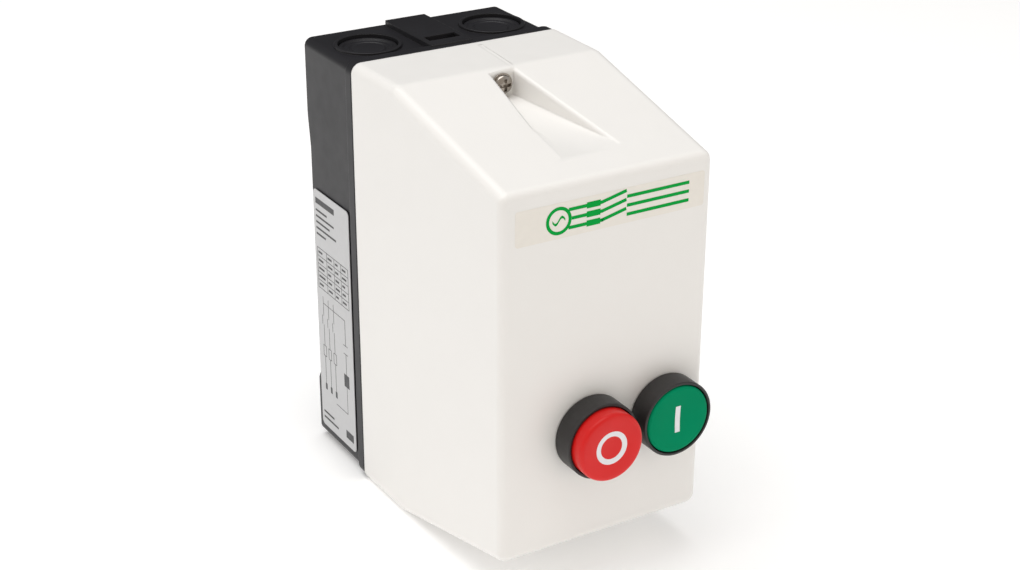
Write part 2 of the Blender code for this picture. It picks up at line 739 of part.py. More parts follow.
def make_cover():
    """The white moulding: shell, screw recess, screw boss, lip, hook and button holes."""
    cover = cover_shape(0.0, COVER_BACK, EDGE_STEPS)
    hollow = cover_shape(WALL, COVER_BACK - 5 * MM, 2)
    cut(hollow, recess_tool(RECESS_SKIN))
    cut(cover, hollow)
    cut(cover, recess_tool(0.0))
    add_lip(cover)
    hole = (SCREW_SEAT - 8 * MM, SCREW_SEAT + 3 * MM)
    bore = SCREW_RADIUS + SCREW_CLEARANCE
    boss_depth = (hole[0], SCREW_SEAT - 1 * MM)
    boss = rod(BRIDGE_X, SCREW_Z, bore + BOSS_WALL, boss_depth, MIDDLE_ROUND)
    join(cover, boss)
    cut(cover, rod(BRIDGE_X, SCREW_Z, bore, (hole[0] - 1 * MM, hole[1]), MIDDLE_ROUND))
    for x in (STOP_X, START_X):
        through = (BODY_DEPTH - 2 * WALL, BODY_DEPTH + WALL)
        cut(cover, rod(x, BUTTON_Z, BUTTON_NECK_RADIUS + GAP, through))
    groove = [
        (BRIDGE_X + 7.9 * MM, 43.0 * MM),
        (BRIDGE_X + 7.0 * MM, 43.0 * MM),
        (BRIDGE_X + 4.8 * MM, SCREW_SEAT - 1 * MM),
        (BRIDGE_X + 5.7 * MM, SCREW_SEAT - 1 * MM),
    ]
    cut(cover, prism_up(groove, (COVER_HEIGHT - 0.3 * MM, COVER_HEIGHT + 1 * MM)))
    return node("front_cover", cover, "white_plastic")


def add_lip(cover):
    """A frame that fits inside the rear box, and a hook that drops into the lower slot."""
    slack = 0.4 * MM
    thick = 1.6 * MM
    x = BASE_HALF - WALL - slack
    low = INNER_LOW + slack
    high = INNER_HIGH - slack
    root = (COVER_BACK + 0.01 * MM, COVER_BACK + LEDGE)
    half = COVER_WIDTH / 2 - WALL + 0.4 * MM
    collar = rounded_block((-half, half), root, (WALL - 0.4 * MM, COVER_HEIGHT - WALL + 0.4 * MM), 1 * MM)
    lip_depth = (BASE_DEPTH - 2.2 * MM, root[1] - 0.5 * MM)
    lip = rounded_block((-x, x), lip_depth, (low, high), 1.5 * MM)
    ring = join(collar, lip)
    inner = (BASE_DEPTH - 4 * MM, root[1] + 1 * MM)
    cut(ring, rounded_block((-x + thick, x - thick), inner, (low + thick, high - thick), 1 * MM))
    notch = SCREW_RADIUS + 2.2 * MM
    notch_x = (BRIDGE_X - notch, BRIDGE_X + notch)
    cut(ring, block(notch_x, inner, (SCREW_Z - notch, INNER_HIGH)))
    cut(ring, rod(BRIDGE_X, SCREW_Z, SCREW_RADIUS + POST_CLEARANCE, inner, MIDDLE_ROUND))
    join(cover, ring)
    hook_half = SLOT_WIDTH / 2 - 1.0 * MM
    hook_x = (BRIDGE_X - hook_half, BRIDGE_X + hook_half)
    toe = (SLOT_DEPTH + 1 * MM, SLOT_DEPTH + SLOT_LENGTH - 0.8 * MM)
    tongue = block(hook_x, (toe[0], root[1]), (low, low + thick))
    barb = block(hook_x, toe, (BASE_LOW + 0.4 * MM, low + thick / 2))
    join(cover, join(tongue, barb))


def make_front_label():
    """A clear film on the upper front."""
    depth = (BODY_DEPTH + GAP, BODY_DEPTH + GAP + FILM_THICK)
    label = rounded_block(FILM_X, depth, FILM_Z, FILM_RADIUS)
    return node("front_label", label, "clear_film")


def make_cover_screw():
    """A pan-head screw, captive in the cover, turned from the recess."""
    seat = SCREW_SEAT + GAP
    face = seat + HEAD_THICK
    profile = [
        (0, SCREW_TIP),
        (SCREW_RADIUS - 0.5 * MM, SCREW_TIP),
        (SCREW_RADIUS, SCREW_TIP + 0.8 * MM),
        (SCREW_RADIUS, seat),
        (HEAD_RADIUS, seat),
        (HEAD_RADIUS, seat + 1.0 * MM),
        (HEAD_RADIUS * 0.9, seat + 1.8 * MM),
        (HEAD_RADIUS * 0.6, face),
        (0, face),
    ]
    screw = turned_forward(BRIDGE_X, SCREW_Z, profile)
    return node("cover_screw", cut_cross(screw, BRIDGE_X, SCREW_Z, face), "steel")


# ---------------------------------------------------------------- buttons


def make_bezel(name, x):
    """A black button body: collar in front of the cover, hollow neck behind it."""
    bore = CAP_RADIUS + GAP
    shelf = NECK_BACK + NECK_FLOOR
    guide = STEM_RADIUS + GAP
    chamfer = 0.4 * MM
    profile = [
        (bore, BEZEL_FRONT),
        (BEZEL_RADIUS - chamfer, BEZEL_FRONT),
        (BEZEL_RADIUS, BEZEL_FRONT - chamfer),
        (BEZEL_RADIUS, BEZEL_BACK),
        (BUTTON_NECK_RADIUS, BEZEL_BACK),
        (BUTTON_NECK_RADIUS, NECK_BACK),
        (guide, NECK_BACK),
        (guide, shelf),
        (SPRING_BORE, shelf),
        (SPRING_BORE, CHAMBER_FLOOR),
        (bore, CHAMBER_FLOOR),
    ]
    return node(name, turned_forward(x, BUTTON_Z, profile, FINE_ROUND), "bezel_plastic")


def make_locknut(name, x):
    """The ring that clamps a bezel from inside the cover."""
    front = BODY_DEPTH - WALL - GAP
    depth = (front - LOCKNUT_HEIGHT, front)
    radius = BUTTON_NECK_RADIUS + LOCKNUT_WIDTH
    nut = rod(x, BUTTON_Z, radius, depth, NOTCHES * EDGE_STEPS)
    for k in range(NOTCHES):
        turn = 2 * math.pi * k / NOTCHES
        notch_x = x + radius * math.cos(turn)
        notch_z = BUTTON_Z + radius * math.sin(turn)
        cut(nut, rod(notch_x, notch_z, 1.0 * MM, (depth[0] - 1 * MM, depth[1] + 1 * MM), 8))
    cut(nut, rod(x, BUTTON_Z, BUTTON_NECK_RADIUS + GAP, (depth[0] - 1 * MM, depth[1] + 1 * MM)))
    return node(name, nut, "dark_plastic")


def make_cap(name, x, face, back, finish):
    """A push cap: dished face, rounded rim, and a socket for its stem."""
    socket = STEM_RADIUS + GAP
    crown = CAP_CROWN
    rim = CAP_RADIUS - crown
    profile = [
        (0, face - 0.7 * MM),
        (CAP_RADIUS * 0.45, face - 0.6 * MM),
        (CAP_RADIUS * 0.75, face - 0.25 * MM),
        (rim - 0.5 * MM, face),
        (rim, face),
        (CAP_RADIUS - crown * 0.3, face - crown * 0.3),
        (CAP_RADIUS, face - crown),
        (CAP_RADIUS, back),
        (socket, back),
        (socket, back + SOCKET_DEPTH),
        (0, back + SOCKET_DEPTH),
    ]
    return node(name, turned_forward(x, BUTTON_Z, profile, FINE_ROUND), finish)


def make_stem(name, x, back_of_cap, tip):
    """The long pin that carries a push from the cap to the apparatus."""
    head = back_of_cap + SOCKET_DEPTH - 0.4 * MM
    disc = SPRING_BORE - 0.5 * MM
    profile = [
        (0, tip),
        (STEM_RADIUS - 0.6 * MM, tip),
        (STEM_RADIUS, tip + 0.6 * MM),
        (STEM_RADIUS, back_of_cap - GAP - STEM_DISC),
        (disc, back_of_cap - GAP - STEM_DISC),
        (disc, back_of_cap - GAP),
        (STEM_RADIUS, back_of_cap - GAP),
        (STEM_RADIUS, head),
        (0, head),
    ]
    return node(name, turned_forward(x, BUTTON_Z, profile, MIDDLE_ROUND), "nylon")


def make_button(prefix, x, face_out, travel, tip, finish):
    """One push button: fixed bezel and nut, moving cap and stem, and its return spring."""
    face = BODY_DEPTH + face_out
    back = CHAMBER_FLOOR + GAP + travel
    bezel = make_bezel(f"{prefix}_bezel", x)
    locknut = make_locknut(f"{prefix}_locknut", x)
    cap = make_cap(f"{prefix}_cap", x, face, back, finish)
    stem = make_stem(f"{prefix}_stem", x, back, tip)
    shelf = NECK_BACK + NECK_FLOOR
    room = (shelf + SPRING_WIRE + GAP, back - GAP - STEM_DISC - SPRING_WIRE - GAP)
    coil = spring(f"{prefix}_spring", x, BUTTON_Z, room, SPRING_RADIUS, 5)
    return {"fixed": [bezel, locknut], "moving": [cap, stem], "spring": coil}


# ---------------------------------------------------------------- contactor


def make_contactor_shells():
    """The contactor's rear and front housings."""
    x = (APPARATUS_X - APPARATUS_WIDTH / 2, APPARATUS_X + APPARATUS_WIDTH / 2)
    z = (CONTACTOR_LOW, CONTACTOR_HIGH)
    inner_x = (x[0] + SHELL, x[1] - SHELL)
    inner_z = (z[0] + SHELL, z[1] - SHELL)
    rear = block(x, (DEVICE_BACK, CONTACTOR_SPLIT), z)
    cut(rear, block(inner_x, (DEVICE_BACK + SHELL, CONTACTOR_SPLIT + 1 * MM), inner_z))
    front = block(x, (CONTACTOR_SPLIT + GAP, CONTACTOR_FRONT), z)
    cut(front, block(inner_x, (CONTACTOR_SPLIT - 1 * MM, CONTACTOR_FRONT - SHELL), inner_z))
    lid = (CONTACTOR_FRONT - SHELL - 1 * MM, CONTACTOR_FRONT + 1 * MM)
    cut(front, block((APPARATUS_X - 5 * MM, APPARATUS_X + 5 * MM), lid, (RAIL_Z - 7 * MM, RAIL_Z + 7 * MM)))
    for pole in POLE_X:
        for direction in (-1, 1):
            z_screw = RAIL_Z + direction * 20.5 * MM
            cut(front, rod(pole, z_screw, 3.6 * MM, lid, COARSE_ROUND))
            edge = RAIL_Z + direction * CONTACTOR_HEIGHT / 2
            window = sorted((edge - direction * 5 * MM, edge + direction * 1 * MM))
            opening = (pole - 3.5 * MM, pole + 3.5 * MM)
            cut(front, block(opening, (CONTACTOR_SPLIT + 10 * MM, CONTACTOR_SPLIT + 20 * MM), window))
    return [node("contactor_rear", rear, "dark_plastic"), node("contactor_front", front, "grey_plastic")]


def e_core(depth, toward, leg):
    """A laminated core: a yoke and three legs that point forwards or backwards."""
    x = (APPARATUS_X - CORE_HALF_WIDTH, APPARATUS_X + CORE_HALF_WIDTH)
    yoke = depth + toward * CORE_THICK
    tip = yoke + toward * leg
    upper = [
        (tip, CORE_END),
        (tip, CORE_SLOT_END),
        (yoke, CORE_SLOT_END),
        (yoke, CORE_SLOT),
        (tip, CORE_SLOT),
    ]
    lower = [(along, -edge) for along, edge in reversed(upper)]
    outline = [(depth, CORE_END), *upper, *lower, (depth, -CORE_END)]
    return prism_across([(along, RAIL_Z + edge) for along, edge in outline], x)


def make_magnet():
    """Fixed core, bobbin and winding in the rear housing."""
    core = e_core(CORE_TIP - CORE_THICK - CORE_LEG, 1, CORE_LEG)
    window = (CORE_TIP - CORE_LEG + GAP, CORE_TIP - GAP)
    inner_x = CORE_HALF_WIDTH + GAP
    inner_z = CORE_SLOT + GAP
    flange = BOBBIN_WALL
    plate = CORE_SLOT_END - 0.6 * MM
    bobbin = block(
        (APPARATUS_X - inner_x - flange, APPARATUS_X + inner_x + flange),
        window,
        (RAIL_Z - inner_z - flange, RAIL_Z + inner_z + flange),
    )
    for start in (window[0], window[1] - flange):
        plate_x = (APPARATUS_X - BOBBIN_HALF_WIDTH, APPARATUS_X + BOBBIN_HALF_WIDTH)
        join(bobbin, block(plate_x, (start, start + flange), (RAIL_Z - plate, RAIL_Z + plate)))
    hole_x = (APPARATUS_X - inner_x, APPARATUS_X + inner_x)
    hole_depth = (window[0] - 1 * MM, window[1] + 1 * MM)
    cut(bobbin, block(hole_x, hole_depth, (RAIL_Z - inner_z, RAIL_Z + inner_z)))
    coil_depth = (window[0] + flange + GAP, window[1] - flange - GAP)
    half = BOBBIN_HALF_WIDTH - flange
    high = plate - flange
    coil_x = (APPARATUS_X - half, APPARATUS_X + half)
    coil = rounded_block(coil_x, coil_depth, (RAIL_Z - high, RAIL_Z + high), 2 * MM)
    wound = flange + GAP
    inside_x = (hole_x[0] - wound, hole_x[1] + wound)
    inside_z = (RAIL_Z - inner_z - wound, RAIL_Z + inner_z + wound)
    cut(coil, block(inside_x, hole_depth, inside_z))
    return [
        node("magnet_core", core, "core_steel"),
        node("coil_bobbin", bobbin, "nylon"),
        node("coil_winding", coil, "copper"),
    ]


def make_armature():
    """Moving core, contact carrier, three contact bridges, and the springs that push them out."""
    core = e_core(ARMATURE_FRONT, -1, ARMATURE_LEG)
    carrier_back = ARMATURE_FRONT + GAP
    carrier_front = CONTACTOR_FRONT - 1.2 * MM
    wide = POLE_PITCH + 4.0 * MM
    body_x = (APPARATUS_X - wide, APPARATUS_X + wide)
    carrier = block(body_x, (carrier_back, BRIDGE_BACK + 4.0 * MM), (RAIL_Z - 6 * MM, RAIL_Z + 6 * MM))
    tab = (APPARATUS_X - 4 * MM, APPARATUS_X + 4 * MM)
    join(carrier, block(tab, (BRIDGE_BACK + 3.0 * MM, carrier_front), (RAIL_Z - 5 * MM, RAIL_Z + 5 * MM)))
    pieces = [node("moving_core", core, "core_steel"), carrier]
    for k, pole in enumerate(POLE_X, 1):
        window_x = (pole - 2.6 * MM, pole + 2.6 * MM)
        window = (BRIDGE_BACK - 4.0 * MM, BRIDGE_BACK + 1.2 * MM + GAP)
        cut(carrier, block(window_x, window, (RAIL_Z - 8 * MM, RAIL_Z + 8 * MM)))
        bar_x = (pole - 2.0 * MM, pole + 2.0 * MM)
        bar = block(bar_x, (BRIDGE_BACK, BRIDGE_BACK + 1.2 * MM), (RAIL_Z - 13 * MM, RAIL_Z + 13 * MM))
        for direction in (-1, 1):
            tip_z = RAIL_Z + direction * 11.0 * MM
            join(bar, rod(pole, tip_z, 1.6 * MM, (BRIDGE_BACK - CONTACT_TIP, BRIDGE_BACK + 0.4 * MM), 16))
        pieces.append(node(f"contact_bridge_{k}", bar, "copper"))
    node("contact_carrier", carrier, "dark_plastic")
    room = (CORE_TIP + SPRING_WIRE, carrier_back - SPRING_WIRE - GAP)
    for side, name in ((-1, "left"), (1, "right")):
        x = APPARATUS_X + side * 10 * MM
        pieces.append(spring(f"return_spring_{name}", x, RAIL_Z, room, 2.0 * MM, 5))
    return pieces


def make_terminals():
    """Fixed contacts of the three poles; the upper ones have clamp screws."""
    contact = CONTACT_FACE
    pieces = []
    for k, pole in enumerate(POLE_X, 1):
        for direction, name in ((1, "line"), (-1, "load")):
            inner = RAIL_Z + direction * 9.0 * MM
            outer = RAIL_Z + direction * 25.0 * MM
            bar_x = (pole - 2.4 * MM, pole + 2.4 * MM)
            bar = block(bar_x, (contact - 1.4 * MM, contact), sorted((inner, outer)))
            if direction > 0:
                screw_z = RAIL_Z + 20.5 * MM
                cut(bar, rod(pole, screw_z, 1.5 * MM + GAP, (contact - 2 * MM, contact + 1 * MM), 16))
                head = contact + GAP
                profile = [
                    (0, contact - 3.5 * MM),
                    (1.5 * MM, contact - 3.5 * MM),
                    (1.5 * MM, head),
                    (2.9 * MM, head),
                    (2.9 * MM, head + 2.0 * MM),
                    (0, head + 2.0 * MM),
                ]
                screw = turned_forward(pole, screw_z, profile, COARSE_ROUND)
                slot_x = (pole - 4 * MM, pole + 4 * MM)
                slot_z = (screw_z - 0.4 * MM, screw_z + 0.4 * MM)
                cut(screw, block(slot_x, (head + 1.2 * MM, head + 3 * MM), slot_z))
                pieces.append(node(f"line_screw_{k}", screw, "steel"))
            pieces.append(node(f"{name}_terminal_{k}", bar, "brass"))
    return pieces


# ---------------------------------------------------------------- overload relay


def make_relay():
    """The overload relay under the contactor, with its heaters and link pins."""
    x = (APPARATUS_X - APPARATUS_WIDTH / 2, APPARATUS_X + APPARATUS_WIDTH / 2)
    z = (RELAY_BOTTOM, RELAY_HIGH)
    front_thick = 3.0 * MM
    seam = RELAY_FRONT - 16.0 * MM
    case = block(x, (DEVICE_BACK, seam), z)
    inner_x = (x[0] + SHELL, x[1] - SHELL)
    inner_z = (z[0] + SHELL, z[1] - SHELL)
    cut(case, block(inner_x, (DEVICE_BACK + SHELL, seam + 1 * MM), inner_z))
    front = block(x, (seam + GAP, RELAY_FRONT), z)
    cut(front, block(inner_x, (seam - 1 * MM, RELAY_FRONT - front_thick), inner_z))
    lid = (RELAY_FRONT - front_thick - 1 * MM, RELAY_FRONT + 1 * MM)
    cut(front, rod(STOP_X, BUTTON_Z, PLUNGER_RADIUS + GAP, lid, MIDDLE_ROUND))
    dial_lid = (RELAY_FRONT - 1.5 * MM, RELAY_FRONT + 1 * MM)
    cut(front, rod(DIAL_X, DIAL_Z, DIAL_RADIUS + GAP, dial_lid, MIDDLE_ROUND))
    pieces = []
    pin_depth = CONTACT_FACE + GAP + 1.2 * MM
    heater_z = (RELAY_BOTTOM + 10 * MM, RELAY_HIGH - 14 * MM)
    for k, pole in enumerate(POLE_X, 1):
        strip_x = (pole - 2.5 * MM, pole + 2.5 * MM)
        strip = block(strip_x, (DEVICE_BACK + 12 * MM, DEVICE_BACK + 13 * MM), heater_z)
        for turn in range(4):
            level = heater_z[0] + (4 + 6 * turn) * MM
            wrap_x = (pole - 3.4 * MM, pole + 3.4 * MM)
            wrap_depth = (DEVICE_BACK + 11 * MM, DEVICE_BACK + 14 * MM)
            join(strip, block(wrap_x, wrap_depth, (level, level + 3 * MM)))
        pieces.append(node(f"heater_{k}", strip, "copper"))
        top_hole = (pole - 2.4 * MM, pole + 2.4 * MM)
        hole_depth = (pin_depth - 1.2 * MM - GAP, pin_depth + 1.2 * MM + GAP)
        cut(case, block(top_hole, hole_depth, (RELAY_HIGH - SHELL - 1 * MM, RELAY_HIGH + 1 * MM)))
        pin_x = (pole - 2.0 * MM, pole + 2.0 * MM)
        pin_z = (RELAY_HIGH - 8 * MM, CONTACTOR_LOW + SHELL + 2.0 * MM)
        pin = block(pin_x, (pin_depth - 1.2 * MM, pin_depth + 1.2 * MM), pin_z)
        pieces.append(node(f"link_pin_{k}", pin, "copper"))
        gland_z = (RELAY_BOTTOM - 1 * MM, RELAY_BOTTOM + SHELL + 1 * MM)
        cut(case, upright_rod(pole, pin_depth, 2.6 * MM, gland_z, 16))
    pieces.append(node("relay_case", case, "dark_plastic"))
    pieces.append(node("relay_front", front, "grey_plastic"))
    return pieces


def make_plunger(name, x, front, length, finish):
    """A short push rod that a button's stem works."""
    head = front + PLUNGER_OUT
    profile = [
        (0, front - length),
        (PLUNGER_RADIUS, front - length),
        (PLUNGER_RADIUS, head - 0.5 * MM),
        (PLUNGER_RADIUS - 0.5 * MM, head),
        (0, head),
    ]
    return node(name, turned_forward(x, BUTTON_Z, profile, MIDDLE_ROUND), finish)


def make_dial():
    """The relay's current-setting dial, with a screwdriver slot."""
    back = RELAY_FRONT - 1.5 * MM + GAP
    face = RELAY_FRONT + 1.0 * MM
    profile = [
        (0, back),
        (DIAL_RADIUS, back),
        (DIAL_RADIUS, face - 0.4 * MM),
        (DIAL_RADIUS - 0.4 * MM, face),
        (0, face),
    ]
    dial = turned_forward(DIAL_X, DIAL_Z, profile, MIDDLE_ROUND)
    slot_x = (DIAL_X - 4.0 * MM, DIAL_X + 4.0 * MM)
    cut(dial, block(slot_x, (face - 1.0 * MM, face + 1 * MM), (DIAL_Z - 0.5 * MM, DIAL_Z + 0.5 * MM)))
    return node("current_dial", dial, "nylon")


def make_start_block():
    """The contact block that the start button works, with its plunger hole."""
    x = (START_X - BLOCK_WIDTH / 2, START_X + BLOCK_WIDTH / 2)
    z = (BUTTON_Z - BLOCK_HEIGHT / 2, BUTTON_Z + BLOCK_HEIGHT / 2)
    body = block(x, (DEVICE_BACK, BLOCK_FRONT), z)
    bore = (BLOCK_FRONT - 14 * MM, BLOCK_FRONT + 1 * MM)
    cut(body, rod(START_X, BUTTON_Z, PLUNGER_RADIUS + GAP, bore, MIDDLE_ROUND))
    for direction in (-1, 1):
        z_well = BUTTON_Z + direction * (BLOCK_HEIGHT / 2 - 5 * MM)
        cut(body, rod(START_X, z_well, 3.0 * MM, (BLOCK_FRONT - 8 * MM, BLOCK_FRONT + 1 * MM), COARSE_ROUND))
    return node("start_contact_block", body, "dark_plastic")


# ---------------------------------------------------------------- assembly


def main():
    clear_scene()
    make_rear_box()
    make_knockouts()
    make_cover_nut()
    make_rail()
    make_earth_terminal()
    make_rating_label()

    make_contactor_shells()
    make_magnet()
    hang_on("armature_axis", at(APPARATUS_X, CONTACTOR_SPLIT, RAIL_Z), make_armature())
    make_terminals()

    make_relay()
    plunger_length = 9.0 * MM
    reset = make_plunger("reset_plunger", STOP_X, RELAY_FRONT, plunger_length, "red_plastic")
    hang_on("reset_axis", at(STOP_X, RELAY_FRONT, BUTTON_Z), [reset])
    hang_on("dial_axis", at(DIAL_X, RELAY_FRONT, DIAL_Z), [make_dial()])
    make_start_block()
    pusher = make_plunger("start_plunger", START_X, BLOCK_FRONT, plunger_length, "green_plastic")
    hang_on("start_plunger_axis", at(START_X, BLOCK_FRONT, BUTTON_Z), [pusher])

    cover = make_cover()
    seal = make_seal()
    label = make_front_label()
    stop_tip = RELAY_FRONT + PLUNGER_OUT + GAP
    start_tip = BLOCK_FRONT + PLUNGER_OUT + GAP
    stop = make_button("stop", STOP_X, STOP_FACE, BUTTON_TRAVEL, stop_tip, "red_plastic")
    start = make_button("start", START_X, START_FACE, START_TRAVEL, start_tip, "green_plastic")
    screw = make_cover_screw()
    on_cover = [cover, seal, label, *stop["fixed"], *start["fixed"]]
    cover_axis = hang_on("cover_axis", at(0, HINGE_DEPTH, 0), on_cover)
    for name, x, pieces in (("stop_axis", STOP_X, stop), ("start_axis", START_X, start)):
        holder = hang_on(name, at(x, BODY_DEPTH, BUTTON_Z), [*pieces["moving"], pieces["spring"]])
        holder.parent = cover_axis
        holder.matrix_parent_inverse = Matrix.Translation(-cover_axis.location)
    screw_axis = hang_on("screw_axis", at(BRIDGE_X, SCREW_SEAT, SCREW_Z), [screw])
    screw_axis.parent = cover_axis
    screw_axis.matrix_parent_inverse = Matrix.Translation(-cover_axis.location)


main()
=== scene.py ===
"""Looks of an enclosed motor protection breaker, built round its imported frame. Metres, +Z up.

The front points along -Y. Places on the case are written as (x, depth, z), with the depth
measured forwards from the wall that the case hangs on.
"""

import json
import math

import bmesh
import bpy
from mathutils import Matrix, Vector

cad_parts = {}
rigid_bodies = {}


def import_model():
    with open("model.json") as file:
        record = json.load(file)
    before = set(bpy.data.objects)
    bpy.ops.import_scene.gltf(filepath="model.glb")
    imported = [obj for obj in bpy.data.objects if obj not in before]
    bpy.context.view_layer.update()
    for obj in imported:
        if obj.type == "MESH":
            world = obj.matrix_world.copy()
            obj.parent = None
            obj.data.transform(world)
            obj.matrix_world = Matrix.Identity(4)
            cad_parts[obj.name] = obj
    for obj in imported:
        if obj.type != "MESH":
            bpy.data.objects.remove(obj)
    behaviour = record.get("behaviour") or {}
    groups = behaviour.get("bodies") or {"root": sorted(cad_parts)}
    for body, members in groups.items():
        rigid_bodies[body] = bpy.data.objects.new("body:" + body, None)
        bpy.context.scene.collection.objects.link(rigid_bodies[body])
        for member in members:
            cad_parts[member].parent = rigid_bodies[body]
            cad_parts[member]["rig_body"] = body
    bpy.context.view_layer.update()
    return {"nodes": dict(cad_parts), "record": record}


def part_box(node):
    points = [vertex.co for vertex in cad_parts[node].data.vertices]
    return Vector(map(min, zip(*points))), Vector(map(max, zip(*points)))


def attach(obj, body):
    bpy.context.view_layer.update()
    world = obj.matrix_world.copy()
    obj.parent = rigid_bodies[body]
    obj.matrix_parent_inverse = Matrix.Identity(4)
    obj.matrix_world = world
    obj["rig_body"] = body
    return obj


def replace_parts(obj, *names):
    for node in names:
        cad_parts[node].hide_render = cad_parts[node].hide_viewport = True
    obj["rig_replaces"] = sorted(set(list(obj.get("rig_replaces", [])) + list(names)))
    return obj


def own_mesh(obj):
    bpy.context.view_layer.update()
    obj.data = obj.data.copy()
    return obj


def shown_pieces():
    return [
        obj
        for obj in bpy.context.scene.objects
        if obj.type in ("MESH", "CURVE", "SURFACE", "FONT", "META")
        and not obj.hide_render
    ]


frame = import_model()
SUBPARTS = frame["record"]["subparts"]
MM = 0.001

# Case
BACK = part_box("rear_box")[1].y
COVER_WIDTH = 82.0 * MM
COVER_HEIGHT = 158.8 * MM
COVER_FRONT_WIDTH = 78.2 * MM
BODY_DEPTH = 133.5 * MM
BASE_DEPTH = 39.2 * MM
BASE_HALF = 39.7 * MM
BASE_LOW = 1.5 * MM
BASE_HIGH = COVER_HEIGHT - BASE_LOW
FLANGE_THICK = 4.7 * MM
FLANGE_RADIUS = 4.5 * MM
BASE_EDGE_RADIUS = 3.0 * MM
WALL = 2.2 * MM
REAR_WALL = 2.8 * MM
GAP = 0.35 * MM
COVER_BACK = BASE_DEPTH + GAP
SLOPE_START = 67.0 * MM
TOP_DROP = 15.4 * MM
BOTTOM_RISE = 15.0 * MM
TOP_SLOPE = TOP_DROP / (BODY_DEPTH - SLOPE_START)
BOTTOM_SLOPE = BOTTOM_RISE / (BODY_DEPTH - SLOPE_START)
LONG_EDGE_RADIUS = 3.6 * MM
FRONT_EDGE_RADIUS = 2.4 * MM
LEDGE = 2.8 * MM
INNER_LOW = BASE_LOW + WALL
INNER_HIGH = BASE_HIGH - WALL

# Rear pads
PAD_RECESS = 2.2 * MM
PAD_PROFILE = (23.4 * MM, 27.4 * MM, 117.5 * MM, 134.5 * MM)

# Bridge, slot, entries
BRIDGE_X = -0.8 * MM
BRIDGE_WIDTH = 16.0 * MM
BRIDGE_START = 2.0 * MM
BRIDGE_TOP_RISE = 2.1 * MM
BRIDGE_BOTTOM_RISE = 1.3 * MM
SLOT_WIDTH = 12.2 * MM
SLOT_DEPTH = 27.0 * MM
SLOT_LENGTH = 4.8 * MM
ENTRY_X = 24.6 * MM
ENTRY_DEPTH = 19.8 * MM
ENTRY_RADIUS = 10.5 * MM
COLLAR_RADIUS = 11.8 * MM
COLLAR_RISE = 0.9 * MM

# Cover screw and its recess
SCREW_Z = COVER_HEIGHT - 4.8 * MM
SCREW_SEAT = 69.4 * MM
SCREW_RADIUS = 2.0 * MM
SCREW_HOLE = SCREW_RADIUS + GAP
NUT_SIDE = 7.0 * MM
RECESS_BACK_HALF = 4.6 * MM
RECESS_FLOOR_DROP = 9.4 * MM
RECESS_LEDGE_DROP = 12.7 * MM
RECESS_FRONT = 130.0 * MM
RECESS_FRONT_X = (-12.9 * MM, 13.7 * MM)
RECESS_FOLD = (-3.4 * MM, 104.4 * MM)
RIM_RADIUS = 1.3 * MM
GROOVE_DEPTH = 0.15 * MM
CROSS_REACH = 2.1 * MM
CROSS_HALF = 0.55 * MM

# Buttons
BUTTON_Z = 55.3 * MM
STOP_X = -5.5 * MM
START_X = 23.7 * MM
NECK_RADIUS = 10.7 * MM
BEZEL_WALL = 0.95 * MM
STEM_HOLE = 3.35 * MM
CHAMBER_RADIUS = 7.6 * MM
SIGN_PROUD = 0.04 * MM
SIGN_THICK = 0.3 * MM
STOP_DISH = (10.3 * MM, 0.8 * MM)
START_DISH = (10.7 * MM, 0.6 * MM)

# Front sign
RING = (3.5 * MM, 4.6 * MM)
RING_X = -18.5 * MM
LINE_PITCH = 3.0 * MM
LINE_WIDTH = 1.1 * MM
INK = 0.05 * MM
STRIP_STEP = 0.02
STRIP_HEIGHTS = 9

# Studio
FLOOR_SIDE = 16.0
WORLD_STRENGTH = 0.67
FRONT_TONE = (0.950, 0.872, 0.785, 1.0)
BACKDROP = (1.3, 1.3, 1.3, 1.0)
WHITE = (1.0, 1.0, 1.0, 1.0)
BEHIND = (0.515, 0.857, 0.0)
AHEAD = (-0.45, -0.89, 0.0)
FLOOR_GLOW = 0.16
LAMP_TARGET = (0.0, 0.0, 0.08)
# Name, place, size, power in watts, colour
LAMPS = (
    ("overhead", (-0.18, 0.10, 1.3), (1.2, 1.2), 10.6, (1.0, 1.0, 1.0)),
    ("left", (-1.1, -0.25, 0.6), (0.8, 0.8), 0.25, (1.0, 0.97, 0.94)),
    ("right_front", (0.75, -1.0, 0.15), (0.6, 0.5), 0.6, (1.0, 0.95, 0.89)),
)

# Camera, found from the edges of the case in the picture
CAMERA_DEGREES = (-31.02, 24.73, 0.198)
CAMERA_PLACE = (-0.29897, -0.49785, 0.34965)
SENSOR_WIDTH = 36.0
LENS = 65.509

SMOOTH_ANGLE = math.radians(34)
ROUND = 96


def at(x, depth, z):
    """The point in the shared frame for an x, a depth from the wall and a height."""
    return Vector((x, BACK - depth, z))


# ---------------------------------------------------------------- solids


def to_object(bm):
    """A mesh object, its faces outwards, from a bmesh."""
    bmesh.ops.recalc_face_normals(bm, faces=bm.faces)
    mesh = bpy.data.meshes.new("piece")
    bm.to_mesh(mesh)
    bm.free()
    obj = bpy.data.objects.new("piece", mesh)
    bpy.context.scene.collection.objects.link(obj)
    return obj


def loft(rings):
    """A solid through rings of equally many points, capped at both ends; single points close it."""
    bm = bmesh.new()
    loops = [[bm.verts.new(point) for point in ring] for ring in rings]
    for first, second in zip(loops, loops[1:]):
        count = max(len(first), len(second))
        for k in range(count):
            corners = [
                first[k % len(first)],
                first[(k + 1) % len(first)],
                second[(k + 1) % len(second)],
                second[k % len(second)],
            ]
            bm.faces.new(list(dict.fromkeys(corners)))
    for end in (loops[0], loops[-1]):
        if len(end) > 2:
            bm.faces.new(end)
    return to_object(bm)


